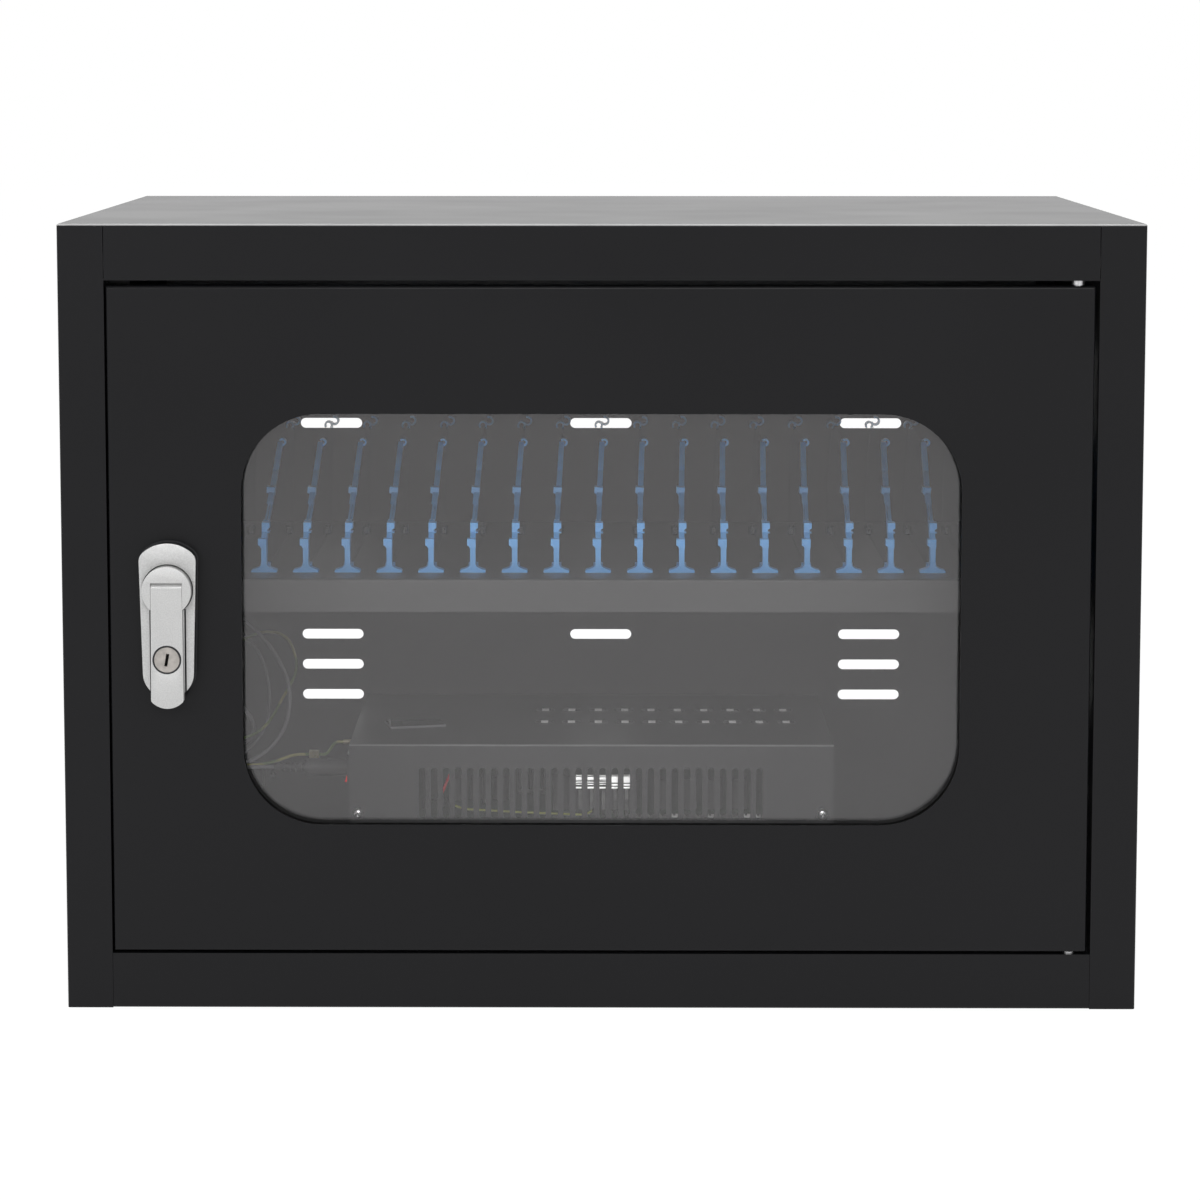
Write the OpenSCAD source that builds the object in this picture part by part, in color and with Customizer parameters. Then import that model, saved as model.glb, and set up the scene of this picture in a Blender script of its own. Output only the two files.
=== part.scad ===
// Bench-top charging cabinet for twenty handsets: a folded steel shell with a
// glazed door hinged on the right, a swing-handle lock on the left, a shelf of
// moulded dividers and, underneath it, a louvred USB power box.
// Frame: origin at the middle of the underside, X right, Y to the back, Z up. Sizes in mm.

/* [Shell] */
// Outside width
width = 680; // [400:1:900]
// Outside height
height = 500; // [300:1:900]
// Outside depth, without the lock
depth = 430; // [250:1:600]
// Steel sheet
sheet = 1.2; // [0.8:0.1:3]
// Outside radius of the folds
fold = 1.8; // [1.3:0.1:4]
// Face width of the two side stiles
stile = 29; // [15:0.5:60]
// Face height of the top rail
top_rail = 35.5; // [15:0.5:80]
// Face height of the bottom rail
bottom_rail = 35.5; // [15:0.5:80]
// Depth of the returns behind the stiles and rails
return_d = 20; // [10:1:40]

/* [Back panel] */
// Vent slot length
slot_l = 46; // [10:1:90]
// Vent slot height
slot_h = 7.5; // [3:0.5:20]
// Distance between the slot columns
slot_pitch_x = 202; // [60:1:240]
// Distance between the slots of a column
slot_pitch_z = 23; // [10:0.5:40]
// Height of the lowest slot row
slot_z = 124; // [60:1:200]
// Radius of the wall-bolt holes
wall_hole_r = 4; // [2:0.5:8]

/* [Door] */
// Gap beside the door
door_gap = 1.2; // [0.6:0.1:3]
// Gap above the door
door_gap_top = 3.5; // [1:0.1:6]
// Depth of the door's returns
door_return = 18; // [10:1:30]
// Window width
window_w = 453; // [100:1:600]
// Window height
window_h = 262; // [80:1:400]
// Window corner radius
window_r = 50; // [5:1:120]
// Height of the window's middle
window_z = 249.75; // [100:0.25:400]
// Thickness of the pane
pane = 3; // [2:0.5:8]
// Set-back of the pane behind the door's face
pane_back = 8; // [2.2:0.1:10]
// Radius of the hinge pins
pin_r = 2.5; // [1.5:0.1:5]

/* [Lock] */
// Middle of the lock
lock_x = -272; // [-300:1:-240]
// Height of the rotor's middle
rotor_z = 270.8; // [150:0.1:400]
// Rotor radius
rotor_r = 15.5; // [8:0.5:20]
// Thickness of the escutcheon
lock_t = 9; // [5:0.5:20]
// Thickness of the handle
handle_t = 6.5; // [4:0.5:12]
// Radius of the key cylinder
key_r = 8.2; // [5:0.1:9]

/* [Bays] */
// Number of bays
bays = 20; // [2:1:24]
// Distance from one divider to the next
pitch = 28; // [20:0.5:60]
// Height of the shelf's upper face
shelf_z = 259.5; // [150:0.5:350]
// Height of a divider
divider_h = 77; // [60:1:140]
// Lean of a divider's upper part
lean = 3.3; // [0:0.1:5]

/* [Power box] */
// Width
hub_w = 339; // [150:1:500]
// Depth
hub_d = 194; // [80:1:198]
// Height above the floor
hub_h = 123.7; // [100:0.1:200]
// Distance between the sockets
port_pitch = 19.4; // [16:0.1:30]
// Number of sockets in a row
ports = 10; // [2:1:14]
// Number of louvre slots
louvres = 29; // [3:1:40]

/* [View] */
// Sub-part to draw, or all

/* [Hidden] */
$fn = 48;
e = 0.01;
hw = width / 2;
hd = depth / 2;
yf = -hd;                            // front plane
ox = hw - stile;                     // edge of the door opening
oz0 = bottom_rail;
oz1 = height - top_rail;
dx0 = -ox + door_gap;                // door edges
dx1 = ox - door_gap - 1.5;
dz0 = oz0 + 1.6;
dz1 = oz1 - door_gap_top;
hinge_x = dx1 - 10.3;
hinge_y = yf + 6;
yb = hd - sheet;                     // inner face of the back panel
py0 = yf + pane_back;                 // front of the pane
ys = yf - 1.4;                       // door face under the lock, with its seal
yl = ys - lock_t;                    // front of the escutcheon
yh = yl - 0.3 - handle_t;            // front of the handle
piv_y = yh + handle_t / 2;           // handle pivot
rz = 268.6;                           // rotor and key in the lock's own drawing
piv_z = rz + 1.65;
key_z = 225.3;
lock_up = rotor_z - rz;
shelf_y0 = -103;
shelf_y1 = 184;
hub_x = -6.5;
hub_y0 = 15;
hub_y1 = hub_y0 + hub_d;
hub_x0 = hub_x - hub_w / 2;
hub_x1 = hub_x + hub_w / 2;
hub_z = sheet + hub_h;
board_z = 70.6;                       // upper face of the circuit board
port_x0 = -40.6;
port_rows = [98.5, 144.5];
div_n = bays + 1;
div_x0 = -pitch * bays / 2 - 1.9;
function div_name(i) = str("divider_", i < 9 ? "0" : "", i + 1);

// Helper shapes.
module box(a, b) { translate(a) cube([b[0] - a[0], b[1] - a[1], b[2] - a[2]]); }

module rr(x0, y0, x1, y1, r) {
  translate([x0 + r, y0]) square([x1 - x0 - 2 * r, y1 - y0]);
  translate([x0, y0 + r]) square([x1 - x0, y1 - y0 - 2 * r]);
  for (x = [x0 + r, x1 - r], y = [y0 + r, y1 - r]) translate([x, y]) circle(r);
}

// extrude a drawing of X and Z from y0 to y1
module along_y(y0, y1) {
  translate([0, y1, 0]) rotate([90, 0, 0]) linear_extrude(y1 - y0) children();
}

// extrude a drawing of Y and Z from x0 to x1
module along_x(x0, x1) {
  translate([x0, 0, 0]) multmatrix([[0, 0, 1, 0], [1, 0, 0, 0], [0, 1, 0, 0], [0, 0, 0, 1]])
    linear_extrude(x1 - x0) children();
}

module cyl_y(x, z, y0, y1, r) { translate([x, y1, z]) rotate([90, 0, 0]) cylinder(h = y1 - y0, r = r); }
module cyl_x(y, z, x0, x1, r) { translate([x0, y, z]) rotate([0, 90, 0]) cylinder(h = x1 - x0, r = r); }

module slot_y(x, z, y0, y1, l, h) {
  along_y(y0, y1) rr(x - l / 2, z - h / 2, x + l / 2, z + h / 2, h / 2 - e);
}

// A round wire along the points. Each corner is bent as gently as its two straights allow.
function unit(v) = v / norm(v);
function turn(p, i) = acos(max(-1, min(1, unit(p[i] - p[i - 1]) * unit(p[i + 1] - p[i]))));
function cut_back(p, i) =
  min(0.48 * norm(p[i] - p[i - 1]), 0.48 * norm(p[i + 1] - p[i]), 80 * tan(turn(p, i) / 2));
module rod_between(p, q, r) {
  d = q - p;
  translate(p) rotate([0, acos(d[2] / norm(d)), atan2(d[1], d[0])]) cylinder(h = norm(d), r = r);
}
module wire(p, r) {
  n = len(p);
  for (i = [0 : n - 2]) {
    d = unit(p[i + 1] - p[i]);
    a = p[i] + d * (i == 0 ? 0 : cut_back(p, i) + e);
    b = p[i + 1] - d * (i == n - 2 ? 0 : cut_back(p, i + 1) + e);
    rod_between(a, b, r);
  }
  for (i = [1 : n - 2]) {
    a = unit(p[i] - p[i - 1]);
    b = unit(p[i + 1] - p[i]);
    w = unit(cross(a, b));
    u = cross(a, w);                 // from the centre of the bend to its start
    bend = cut_back(p, i) / tan(turn(p, i) / 2);
    c = p[i] - a * cut_back(p, i) - u * bend;
    multmatrix([[u[0], a[0], w[0], c[0]], [u[1], a[1], w[1], c[1]], [u[2], a[2], w[2], c[2]], [0, 0, 0, 1]])
      rotate_extrude(angle = turn(p, i)) translate([bend, 0]) circle(r);
  }
}

// The shell.
// Sides, top, stiles and top rail folded from one sheet.
module shell() color([0.15, 0.15, 0.16]) difference() {
  union() {
    difference() {
      intersection() {
        along_y(yf, hd - sheet) union() {
          rr(-hw, 0, hw, height, fold);
          translate([-hw, 0]) square([width, 20]);
        }
        along_x(-hw, hw) union() {
          rr(yf, 0, hd, height, fold);
          translate([yf, 0]) square([20, 20]);
          translate([0, 0]) square([hd, height]);
        }
        linear_extrude(height) union() {
          rr(-hw, yf, hw, hd, fold);
          translate([-hw, 0]) square([width, hd]);
        }
      }
      box([-hw + sheet, yf + sheet, -1], [hw - sheet, hd - 2 * sheet, height - sheet]);
      box([-ox, yf - 1, -1], [ox, yf + 5, oz1]);
      box([-hw + 16, 150, -1], [hw - 16, hd + 1, height - 16]);
    }
    // returns behind the stiles and the top rail
    for (s = [-1, 1])
      box([s > 0 ? ox : -ox - sheet, yf + sheet - e, 0],
          [s > 0 ? ox + sheet : -ox, yf + return_d, oz1 + sheet]);
    box([-ox, yf + sheet - e, oz1], [ox, yf + return_d, oz1 + sheet]);
    // catch strip that the closed door rests against
    box([-ox - e, yf + return_d - sheet, oz0], [-ox + 14, yf + return_d, oz1 + e]);
  }
  // joints between the stiles and the top rail
  for (s = [-1, 1])
    box([s * ox - 0.2, yf - 1, oz1 + sheet], [s * ox + 0.2, yf + sheet + e, height - fold]);
  // spot welds along both sides, seen as shallow dimples
  for (s = [-1, 1], z = [60 : 95 : 440])
    cyl_x(205, z, s > 0 ? hw - 0.15 : -hw - 1, s > 0 ? hw + 1 : -hw + 0.15, 2.5);
}

// Bottom rail and floor in one tray, with turned-up sides and back.
module floor_panel() color([0.15, 0.15, 0.16]) difference() {
  union() {
    difference() {
      intersection() {
        box([-hw + sheet, yf, 0], [hw - sheet, hd - sheet, oz0]);
        along_x(-hw, hw) union() { rr(yf, 0, hd, oz0 + 5, fold); translate([0, 0]) square([hd, oz0]); }
      }
      box([-hw + 2 * sheet, yf + sheet, sheet], [hw - 2 * sheet, hd - 2 * sheet, 100]);
      // room for the stiles, their returns and the back flanges of the shell
      for (s = [-1, 1]) {
        box([s > 0 ? ox - 0.2 : -hw, yf - 1, -1], [s > 0 ? hw : -ox + 0.2, yf + sheet, 100]);
        box([s > 0 ? ox - 0.2 : -ox - sheet, yf - 1, -1], [s > 0 ? ox + sheet : -ox + 0.2, yf + return_d, 100]);
        box([s > 0 ? hw - 16.2 : -hw, hd - 2 * sheet - 0.2, -1], [s > 0 ? hw : -hw + 16.2, hd, 100]);
      }
      box([-hw, yf + 30, 16], [hw, hd + 1, 100]);
      box([-hw, yf + sheet, 16], [-ox + 5, yf + 31, 100]);
      box([ox - 5, yf + sheet, 16], [hw, yf + 31, 100]);
    }
    box([-ox + 0.2, yf + sheet - e, oz0 - sheet], [ox - 0.2, yf + return_d, oz0]);
    box([-ox + 0.2, yf + return_d - sheet, oz0 - 8], [ox - 0.2, yf + return_d, oz0]);
  }
  // vents under the power box
  for (x = [-120 : 24 : 120], y = [60, 120]) translate([0, 0, -1])
    linear_extrude(4) rr(x - 3 + hub_x, y, x + 3 + hub_x, y + 34, 2.9);
}

module back_panel() color([0.15, 0.15, 0.16]) difference() {
  box([-hw + 0.8, hd - sheet, 0.8], [hw - 0.8, hd, height - 0.8]);
  for (s = [-1, 1], row = [0 : 2], up = [0, 1])
    slot_y(s * slot_pitch_x, up ? height - slot_z - row * slot_pitch_z : slot_z + row * slot_pitch_z,
           hd - 3, hd + 1, slot_l, slot_h);
  for (z = [slot_z + 2 * slot_pitch_z, height - slot_z - 2 * slot_pitch_z])
    slot_y(0, z, hd - 3, hd + 1, slot_l, slot_h);
  for (x = [-300, 300], z = [50, 450]) cyl_y(x, z, hd - 3, hd + 1, wall_hole_r);
  along_y(hd - 3, hd + 1) rr(-268 - 13.6, 62 - 10, -268 + 13.6, 62 + 10, 3);
  for (s = [-1, 1]) cyl_y(-268 + s * 20, 62, hd - 3, hd + 1, 1.6);
  for (x = [-320 : 80 : 320], z = [8, 492]) cyl_y(x, z, hd - 0.15, hd + 1, 2.5);
  for (x = [-331, 331], z = [90 : 80 : 410]) cyl_y(x, z, hd - 0.15, hd + 1, 2.5);
}

module shelf() color([0.22, 0.22, 0.23]) difference() {
  union() {
    difference() {
      intersection() {
        box([-hw + sheet + 0.6, shelf_y0, shelf_z - 22], [hw - sheet - 0.6, shelf_y1, shelf_z]);
        along_x(-hw, hw) union() { rr(shelf_y0, shelf_z - 60, shelf_y1, shelf_z, fold); }
      }
      box([-hw, shelf_y0 + sheet, shelf_z - 60], [hw, shelf_y1 - sheet, shelf_z - sheet]);
      box([-hw, shelf_y1 - 5, shelf_z - 60], [hw, shelf_y1 + 5, shelf_z - 12]);
    }
    box([-hw + sheet + 16, shelf_y0 + sheet - e, shelf_z - 22],
        [hw - sheet - 16, shelf_y0 + 9, shelf_z - 22 + sheet]);
  }
  for (i = [0 : div_n - 1], y = [-60, 120])
    translate([div_x0 + i * pitch, y, shelf_z - 5]) cylinder(h = 10, r = 1.6);
  for (s = [-1, 1], y = [-70, 60, 160]) translate([s * (hw - 9), y, shelf_z - 5]) cylinder(h = 10, r = 2.1);
}

module shelf_bracket(s) color([0.15, 0.15, 0.16]) difference() {
  union() {
    box([s > 0 ? hw - sheet - 16 : -hw + sheet, shelf_y0 + 12, shelf_z - sheet - 1.5],
        [s > 0 ? hw - sheet : -hw + sheet + 16, shelf_y1 - 3, shelf_z - sheet]);
    box([s > 0 ? hw - sheet - 1.5 : -hw + sheet, shelf_y0 + 12, shelf_z - sheet - 18],
        [s > 0 ? hw - sheet : -hw + sheet + 1.5, shelf_y1 - 3, shelf_z - sheet]);
  }
  for (y = [-70, 60, 160]) translate([s * (hw - 9), y, shelf_z - 5]) cylinder(h = 10, r = 2.1);
}
module shelf_bracket_left() shelf_bracket(-1);
module shelf_bracket_right() shelf_bracket(1);

module shelf_screws() color([0.7, 0.7, 0.72])
  for (s = [-1, 1], y = [-70, 60, 160]) translate([s * (hw - 9), y, shelf_z]) difference() {
    union() {
      translate([0, 0, -7]) cylinder(h = 7.01, r = 2);
      cylinder(h = 0.9, r = 3.8);
      translate([0, 0, 0.9]) cylinder(h = 0.9, r1 = 3.8, r2 = 2.3);
    }
    translate([-2.6, -0.5, 0.8]) cube([5.2, 1, 2]);
    translate([-0.5, -2.6, 0.8]) cube([1, 5.2, 2]);
  }

// Pins of the door's two pivots, each with a collar in the gap.
module hinge_pins() color([0.75, 0.75, 0.77]) translate([hinge_x, hinge_y, 0]) {
  translate([0, 0, dz1 - 9]) cylinder(h = oz1 - dz1 + 9, r = pin_r);
  translate([0, 0, dz1 + 0.5]) cylinder(h = oz1 - dz1 - 0.5, r = 4);
  translate([0, 0, oz0]) cylinder(h = dz0 - oz0 + 9, r = pin_r);
  translate([0, 0, oz0]) cylinder(h = dz0 - oz0 - 0.3, r = 4);
}

// Rubber buffers on the catch strip.
module catch_buffers() color([0.05, 0.05, 0.05])
  for (z = [90, 410]) cyl_y(-ox + 4.5, z, yf + return_d - sheet - 0.5, yf + return_d - sheet, 3.2);

// The dividers.
// A clear web behind a stiff front post with clips, hooks along its top edge and a flared front foot.
bend_z = 33;                          // height from which a divider leans
module divider_low(w) along_x(-w, w)
  polygon([[-74, 0], [-74, 22], [-58, bend_z + 0.3], [148.4, bend_z + 0.3], [150, 0]]);
module divider_high(w) along_x(-w, w)
  polygon([[-58.6, bend_z - 0.3], [-58, bend_z], [-15, 52], [26, divider_h], [136, divider_h],
           [147, divider_h - 12], [148.5, bend_z - 0.3]]);
// three quarters of a ring, its gap turned by a
module curl(x, z, r, bore, a) translate([x, z]) rotate(a) difference() {
  circle(r);
  circle(bore);
  translate([-r - 1, -r - 1]) square([r + 1, r + 1]);
}

module divider(i) color([0.35, 0.62, 0.92]) translate([div_x0 + i * pitch, 0, shelf_z]) {
  difference() {
    union() {
      divider_low(0.6);
      // front post and the two clips at its foot
      along_x(-1.8, 1.8) polygon([[-74, 0], [-74, 22], [-58, bend_z + 0.3], [-51.6, bend_z + 0.3], [-64.5, 19.5],
                                  [-64.5, 0]]);
      box([-3.7, -76, 16.8], [2, -69, 22.9]);
      box([-1.9, -67.5, 25.8], [3.2, -58.5, 32.8]);
      // flared foot, and the bosses for its screws
      along_y(-74, -66) polygon([[-8.4, 0], [8.4, 0], [8.7, 0.8], [8.2, 1.7], [5, 2.7], [2.8, 3.8], [1.8, 5.4],
                                 [-1.8, 5.4], [-2.8, 3.8], [-5, 2.7], [-8.2, 1.7], [-8.7, 0.8]]);
      for (y = [-68, 112]) linear_extrude(4.8) rr(-3.2, y, 3.2, y + 16, 3);
    }
    cyl_y(-3.4, 17.2, -77, -68, 1.2);
    cyl_y(2.9, 27.6, -69, -57, 1.2);
    for (y = [-60, 120]) translate([0, y, -1]) cylinder(h = 5.3, r = 1.5);
  }
  translate([0, 0, bend_z]) rotate([0, lean, 0]) translate([0, 0, -bend_z]) difference() {
    union() {
      divider_high(0.6);
      along_x(-1.8, 1.8) polygon([[-38.5, 41.6], [-15, 52], [26, divider_h], [31, divider_h], [27.4, divider_h - 4],
                                  [-13.3, 48.2], [-28.7, 41.6]]);
      // set-back stretch of the post between the second and the third clip
      along_x(-1.2, 2) polygon([[-53, bend_z - 0.3], [-33.4, 42], [-26.8, 42], [-45, bend_z - 0.3]]);
      box([-3.5, -24, 45.6], [2.1, -15.5, 51.4]);
      along_y(24, 30) curl(1.5, divider_h, 2.7, 1.4, -35);
      along_y(127, 133) {
        curl(1.9, divider_h + 4.4, 3.4, 2, -65);
        curl(-2.3, divider_h + 0.9, 3, 1.7, 45);
      }
    }
    cyl_y(-3.2, 46, -25, -14, 1.2);
  }
}

module divider_screws() color([0.7, 0.7, 0.72])
  for (i = [0 : div_n - 1], y = [-60, 120]) translate([div_x0 + i * pitch, y, shelf_z - sheet - 1.7]) {
    cylinder(h = 1.7, r1 = 2.1, r2 = 2.9);
    translate([0, 0, 1.7 - e]) cylinder(h = 5.2, r = 1.5);
  }

// The power box.
module hub_chassis() color([0.2, 0.2, 0.21]) difference() {
  union() {
    difference() {
      box([hub_x0 + 1, hub_y0 + 1, sheet], [hub_x1 - 1, hub_y1 - 1, hub_z - 1]);
      box([hub_x0 + 2, hub_y0, 2 * sheet], [hub_x1 - 2, hub_y1, hub_z + 1]);
    }
    for (s = [0, 1])
      box([s ? hub_x1 - 13 : hub_x0 + 1, hub_y0 + 1, sheet],
          [s ? hub_x1 - 1 : hub_x0 + 13, hub_y0 + 2, hub_z - 1]);
  }
  box([hub_x0 - 1, 28.5, 91], [hub_x0 + 5, 41.5, 113]);
  box([hub_x0 - 1, 54, 92], [hub_x0 + 5, 70, 106]);
  for (x = [hub_x0 + 5.6, hub_x1 - 7.6]) cyl_y(x, 76, hub_y0 - 1, hub_y0 + 3, 1.6);
  for (y = [110 : 9 : 182]) box([hub_x0 - 1, y, 60], [hub_x0 + 5, y + 3, 95]);
  for (y = [60 : 9 : 182]) box([hub_x1 - 5, y, 60], [hub_x1 + 1, y + 3, 95]);
}

// Top, louvred front and back of the box, folded from one sheet.
module hub_cover() color([0.2, 0.2, 0.21]) difference() {
  intersection() {
    box([hub_x0, hub_y0, sheet + 0.2], [hub_x1, hub_y1, hub_z]);
    along_x(hub_x0, hub_x1) rr(hub_y0, -20, hub_y1, hub_z, 1.6);
  }
  box([hub_x0 - 1, hub_y0 + 1, 0], [hub_x1 + 1, hub_y1 - 1, hub_z - 1]);
  for (i = [0 : louvres - 1]) slot_louvre(-7.1 + (i - (louvres - 1) / 2) * 8.43);
  for (r = port_rows, i = [0 : ports - 1])
    box([port_x0 + i * port_pitch - 6.9, r - 3.4, hub_z - 5],
        [port_x0 + i * port_pitch + 6.9, r + 3.4, hub_z + 1]);
  for (x = [hub_x0 + 5.6, hub_x1 - 7.6]) cyl_y(x, 76, hub_y0 - 1, hub_y0 + 3, 1.6);
}
module slot_louvre(x) along_y(hub_y0 - 1, hub_y0 + 3) rr(x - 2.2, 72.3, x + 2.2, 108.3, 2.1);

module hub_board() color([0.1, 0.35, 0.2]) difference() {
  box([hub_x0 + 18, hub_y0 + 11, board_z - 1.6], [hub_x1 - 18, hub_y1 - 12, board_z]);
  for (x = [hub_x0 + 24, hub_x1 - 24], y = [hub_y0 + 18, hub_y1 - 18])
    translate([x, y, 50]) cylinder(h = 40, r = 1.6);
}

// What shows through the louvres: a header on legs, a terminal strip, capacitors, transformers and a cooler.
module hub_parts() color([0.85, 0.85, 0.82]) {
  for (x = [hub_x0 + 24, hub_x1 - 24], y = [hub_y0 + 18, hub_y1 - 18])
    translate([x, y, 2 * sheet]) cylinder(h = board_z - 1.6 - 2 * sheet, r = 2.6);
  // header: ribbed on its left, plain on its right
  box([-17.5, 33.5, 89.6], [21.6, 36, 99.4]);
  for (z = [89.8 : 3.3 : 98]) box([-17.5, 30.8, z], [5, 33.6, z + 2.1]);
  box([6.4, 30.8, 90.4], [21.6, 33.6, 99]);
  for (i = [0 : 4]) box([-15.7 + i * 8.2, 34, board_z], [-13.3 + i * 8.2, 36, 89.7]);
  // terminal strip along the front edge of the board
  difference() {
    box([19, 26.6, board_z], [113, 29.6, board_z + 2.2]);
    for (i = [0 : 21]) box([21.6 + i * 4.2, 26, board_z + 1.2], [23.2 + i * 4.2, 30, board_z + 3]);
  }
  box([-34, 50, board_z], [-6, 78, 96]);
  box([2, 50, board_z], [26, 76, 92]);
  for (x = [44, 62, 80, 98]) translate([x, 58, board_z]) cylinder(h = 22, r = 6.5);
  for (x = [-104, -88, -72]) translate([x, 88, board_z]) cylinder(h = 17, r = 6);
  for (i = [0 : 6]) box([-60 + i * 3, 110, board_z], [-58.6 + i * 3, 170, 98]);
  box([-60, 110, board_z], [-40, 170, board_z + 2.4]);
}

// Two wires behind the louvres.
module hub_wire() color([0.8, 0.08, 0.08]) {
  wire([[-126, 52, board_z + 0.05], [-126, 52, 80], [-119, 36, 80], [-112, 30, 86], [-105.5, 29, 103],
        [-97, 40, 112], [-86, 56, 106], [-84, 72, 90], [-84, 72, board_z + 0.05]], 1);
  wire([[-112, 62, board_z + 0.05], [-112, 62, 80], [-108, 42, 79], [-99, 30, 75.8], [-50, 29, 73.4],
        [-10, 29, 71.9], [-3, 32.4, 76.6], [-2.5, 44, 80], [-2.5, 44, board_z + 0.05]], 0.8);
}

module usb_shells() color([0.78, 0.78, 0.8]) for (r = port_rows, i = [0 : ports - 1])
  translate([port_x0 + i * port_pitch, r, hub_z]) difference() {
    translate([-6.6, -3.1, -16]) cube([13.2, 6.2, 16.5]);
    translate([-6.2, -2.7, -15]) cube([12.4, 5.4, 20]);
  }

module usb_tongues() color([0.93, 0.93, 0.93]) for (r = port_rows, i = [0 : ports - 1])
  translate([port_x0 + i * port_pitch, r, hub_z]) {
    translate([-5.6, 0.5, -15]) cube([11.2, 1.7, 14]);
    translate([-6.2, -2.7, -15]) cube([12.4, 5.4, 1.5]);
  }

module hub_screws() color([0.8, 0.8, 0.82]) for (x = [hub_x0 + 5.6, hub_x1 - 7.6]) translate([x, hub_y0, 76])
  rotate([90, 0, 0]) difference() {
    union() {
      translate([0, 0, -8]) cylinder(h = 8.01, r = 1.5);
      cylinder(h = 1, r = 3.6);
      translate([0, 0, 1]) cylinder(h = 1, r1 = 3.6, r2 = 2.2);
    }
    translate([-2.2, -0.45, 0.9]) cube([4.4, 0.9, 2]);
    translate([-0.45, -2.2, 0.9]) cube([0.9, 4.4, 2]);
  }

module switch_housing() color([0.06, 0.06, 0.06]) difference() {
  union() {
    box([hub_x0 - 2.5, 26, 88.5], [hub_x0 + 1, 44, 115.5]);
    box([hub_x0 + 0.9, 28.6, 91.1], [hub_x0 + 16, 41.4, 112.9]);
  }
  box([hub_x0 - 3, 30, 92.1], [hub_x0 + 12, 40, 111.9]);
  // bores of the rocker's pivot
  translate([hub_x0 + 2, 28.9, 102]) rotate([-90, 0, 0]) cylinder(h = 12.2, r = 1.26);
}

// Rocker drawn pressed in at its upper end, on a pivot that sits in the housing.
module switch_rocker() color([0.85, 0.05, 0.05]) translate([hub_x0 + 2, 0, 102]) {
  rotate([0, 7, 0]) translate([0, 39.6, 0]) rotate([90, 0, 0]) linear_extrude(9.2)
    polygon([[4, -6.6], [-5.4, -7.8], [-4.2, 0], [-5.4, 7.8], [4, 6.6]]);
  translate([0, 29.1, 0]) rotate([-90, 0, 0]) cylinder(h = 11.8, r = 1.2);
}

module power_inlet() color([0.05, 0.05, 0.05]) difference() {
  union() {
    along_y(hd, hd + 2.6) rr(-268 - 25, 62 - 11.5, -268 + 25, 62 + 11.5, 5);
    along_y(hd - 18, hd + 0.1) rr(-268 - 13.4, 62 - 9.8, -268 + 13.4, 62 + 9.8, 2.9);
  }
  along_y(hd - 15.5, hd + 4) rr(-268 - 12, 62 - 8.2, -268 + 12, 62 + 8.2, 2);
  for (s = [-1, 1]) cyl_y(-268 + s * 20, 62, hd - 3, hd + 4, 1.6);
}

module inlet_pins() color([0.75, 0.75, 0.76]) {
  for (p = [[-7, -1.6], [0, 2.8], [7, -1.6]])
    box([-268 + p[0] - 1, hd - 15.5, 62 + p[1] - 2], [-268 + p[0] + 1, hd - 1, 62 + p[1] + 2]);
  for (s = [-1, 1]) {
    cyl_y(-268 + s * 20, 62, hd - 5, hd + 2.7, 1.5);
    cyl_y(-268 + s * 20, 62, hd + 2.6, hd + 4, 2.9);
  }
}

// The wiring on the left.
lead_r = 1.35;
stud_x = -hw + sheet;
// From the mains inlet up behind the left stile, out in a loop and back to the plug of the power box.
module power_lead() color([0.55, 0.55, 0.57])
  wire([[-268, hd - 18.02, 62], [-268, 184, 62], [-286, 160, 72], [-274, 142, 92], [-250, 128, 112],
        [-262, 122, 134], [-300, 114, 150], [-318, 110, 180], [-300, 104, 210], [-264, 100, 206],
        [-240, 97, 184], [-223, 94, 154], [-226, 90, 122], [-243, 86, 102], [-274, 84, 91], [-304, 86, 82],
        [-326, 70, 92], [-304, 54, 102], [-270, 62, 99], [hub_x0 - 55, 62, 99]], lead_r);

// Plug in the side of the power box, with its ribbed strain relief.
module lead_plug() color([0.3, 0.3, 0.31]) {
  cyl_x(62, 99, hub_x0 - 2, hub_x0 + 12, 4.5);
  cyl_x(62, 99, hub_x0 - 34, hub_x0, 6.4);
  difference() {
    translate([hub_x0 - 57, 62, 99]) rotate([0, 90, 0]) cylinder(h = 23, r1 = 2.6, r2 = 3.9);
    translate([hub_x0 - 58, 62, 99]) rotate([0, 90, 0]) cylinder(h = 4, r = lead_r + 0.03);
    for (i = [0 : 4]) translate([hub_x0 - 53.5 + i * 4, 62, 99]) rotate([0, 90, 0]) difference() {
      cylinder(h = 2, r = 6);
      translate([0, 0, -1]) cylinder(h = 4, r = 2);
    }
  }
}

// Earth wire in two lengths, joined by a small connector.
module earth_wire() color([0.72, 0.75, 0.25]) {
  wire([[hub_x0 - 9.02, 84, 113], [hub_x0 - 15, 84, 113], [-197, 82, 104.2], [-202.48, 82, 104.2]], 1.05);
  wire([[-209.52, 82, 104.2], [-220, 82, 104.2], [-240, 73, 98.5], [-272, 72, 98], [-300, 82, 104],
        [-316, 100, 114], [-296, 110, 117], [-266, 107, 108], [-243, 105, 118], [-230, 105, 142],
        [-218, 105, 163], [-226, 105, 187], [-243, 106, 190.5], [-268, 106, 180], [-300, 106, 170.4],
        [stud_x + 13.22, 106, 170.4]], 1.05);
}

module bond_wire() color([0.62, 0.62, 0.64])
  wire([[stud_x + 13.22, 126, 190.4], [-312, 126, 190.4], [-292, 124, 198], [-266, 119, 192], [-246, 116, 172],
        [-240, 114, 144], [-242, 112.5, 120], [-256, 113, 100], [-280, 117, 84], [-294.4, 118, 62],
        [-294.4, 118, sheet + 13.22]], 0.9);

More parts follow.
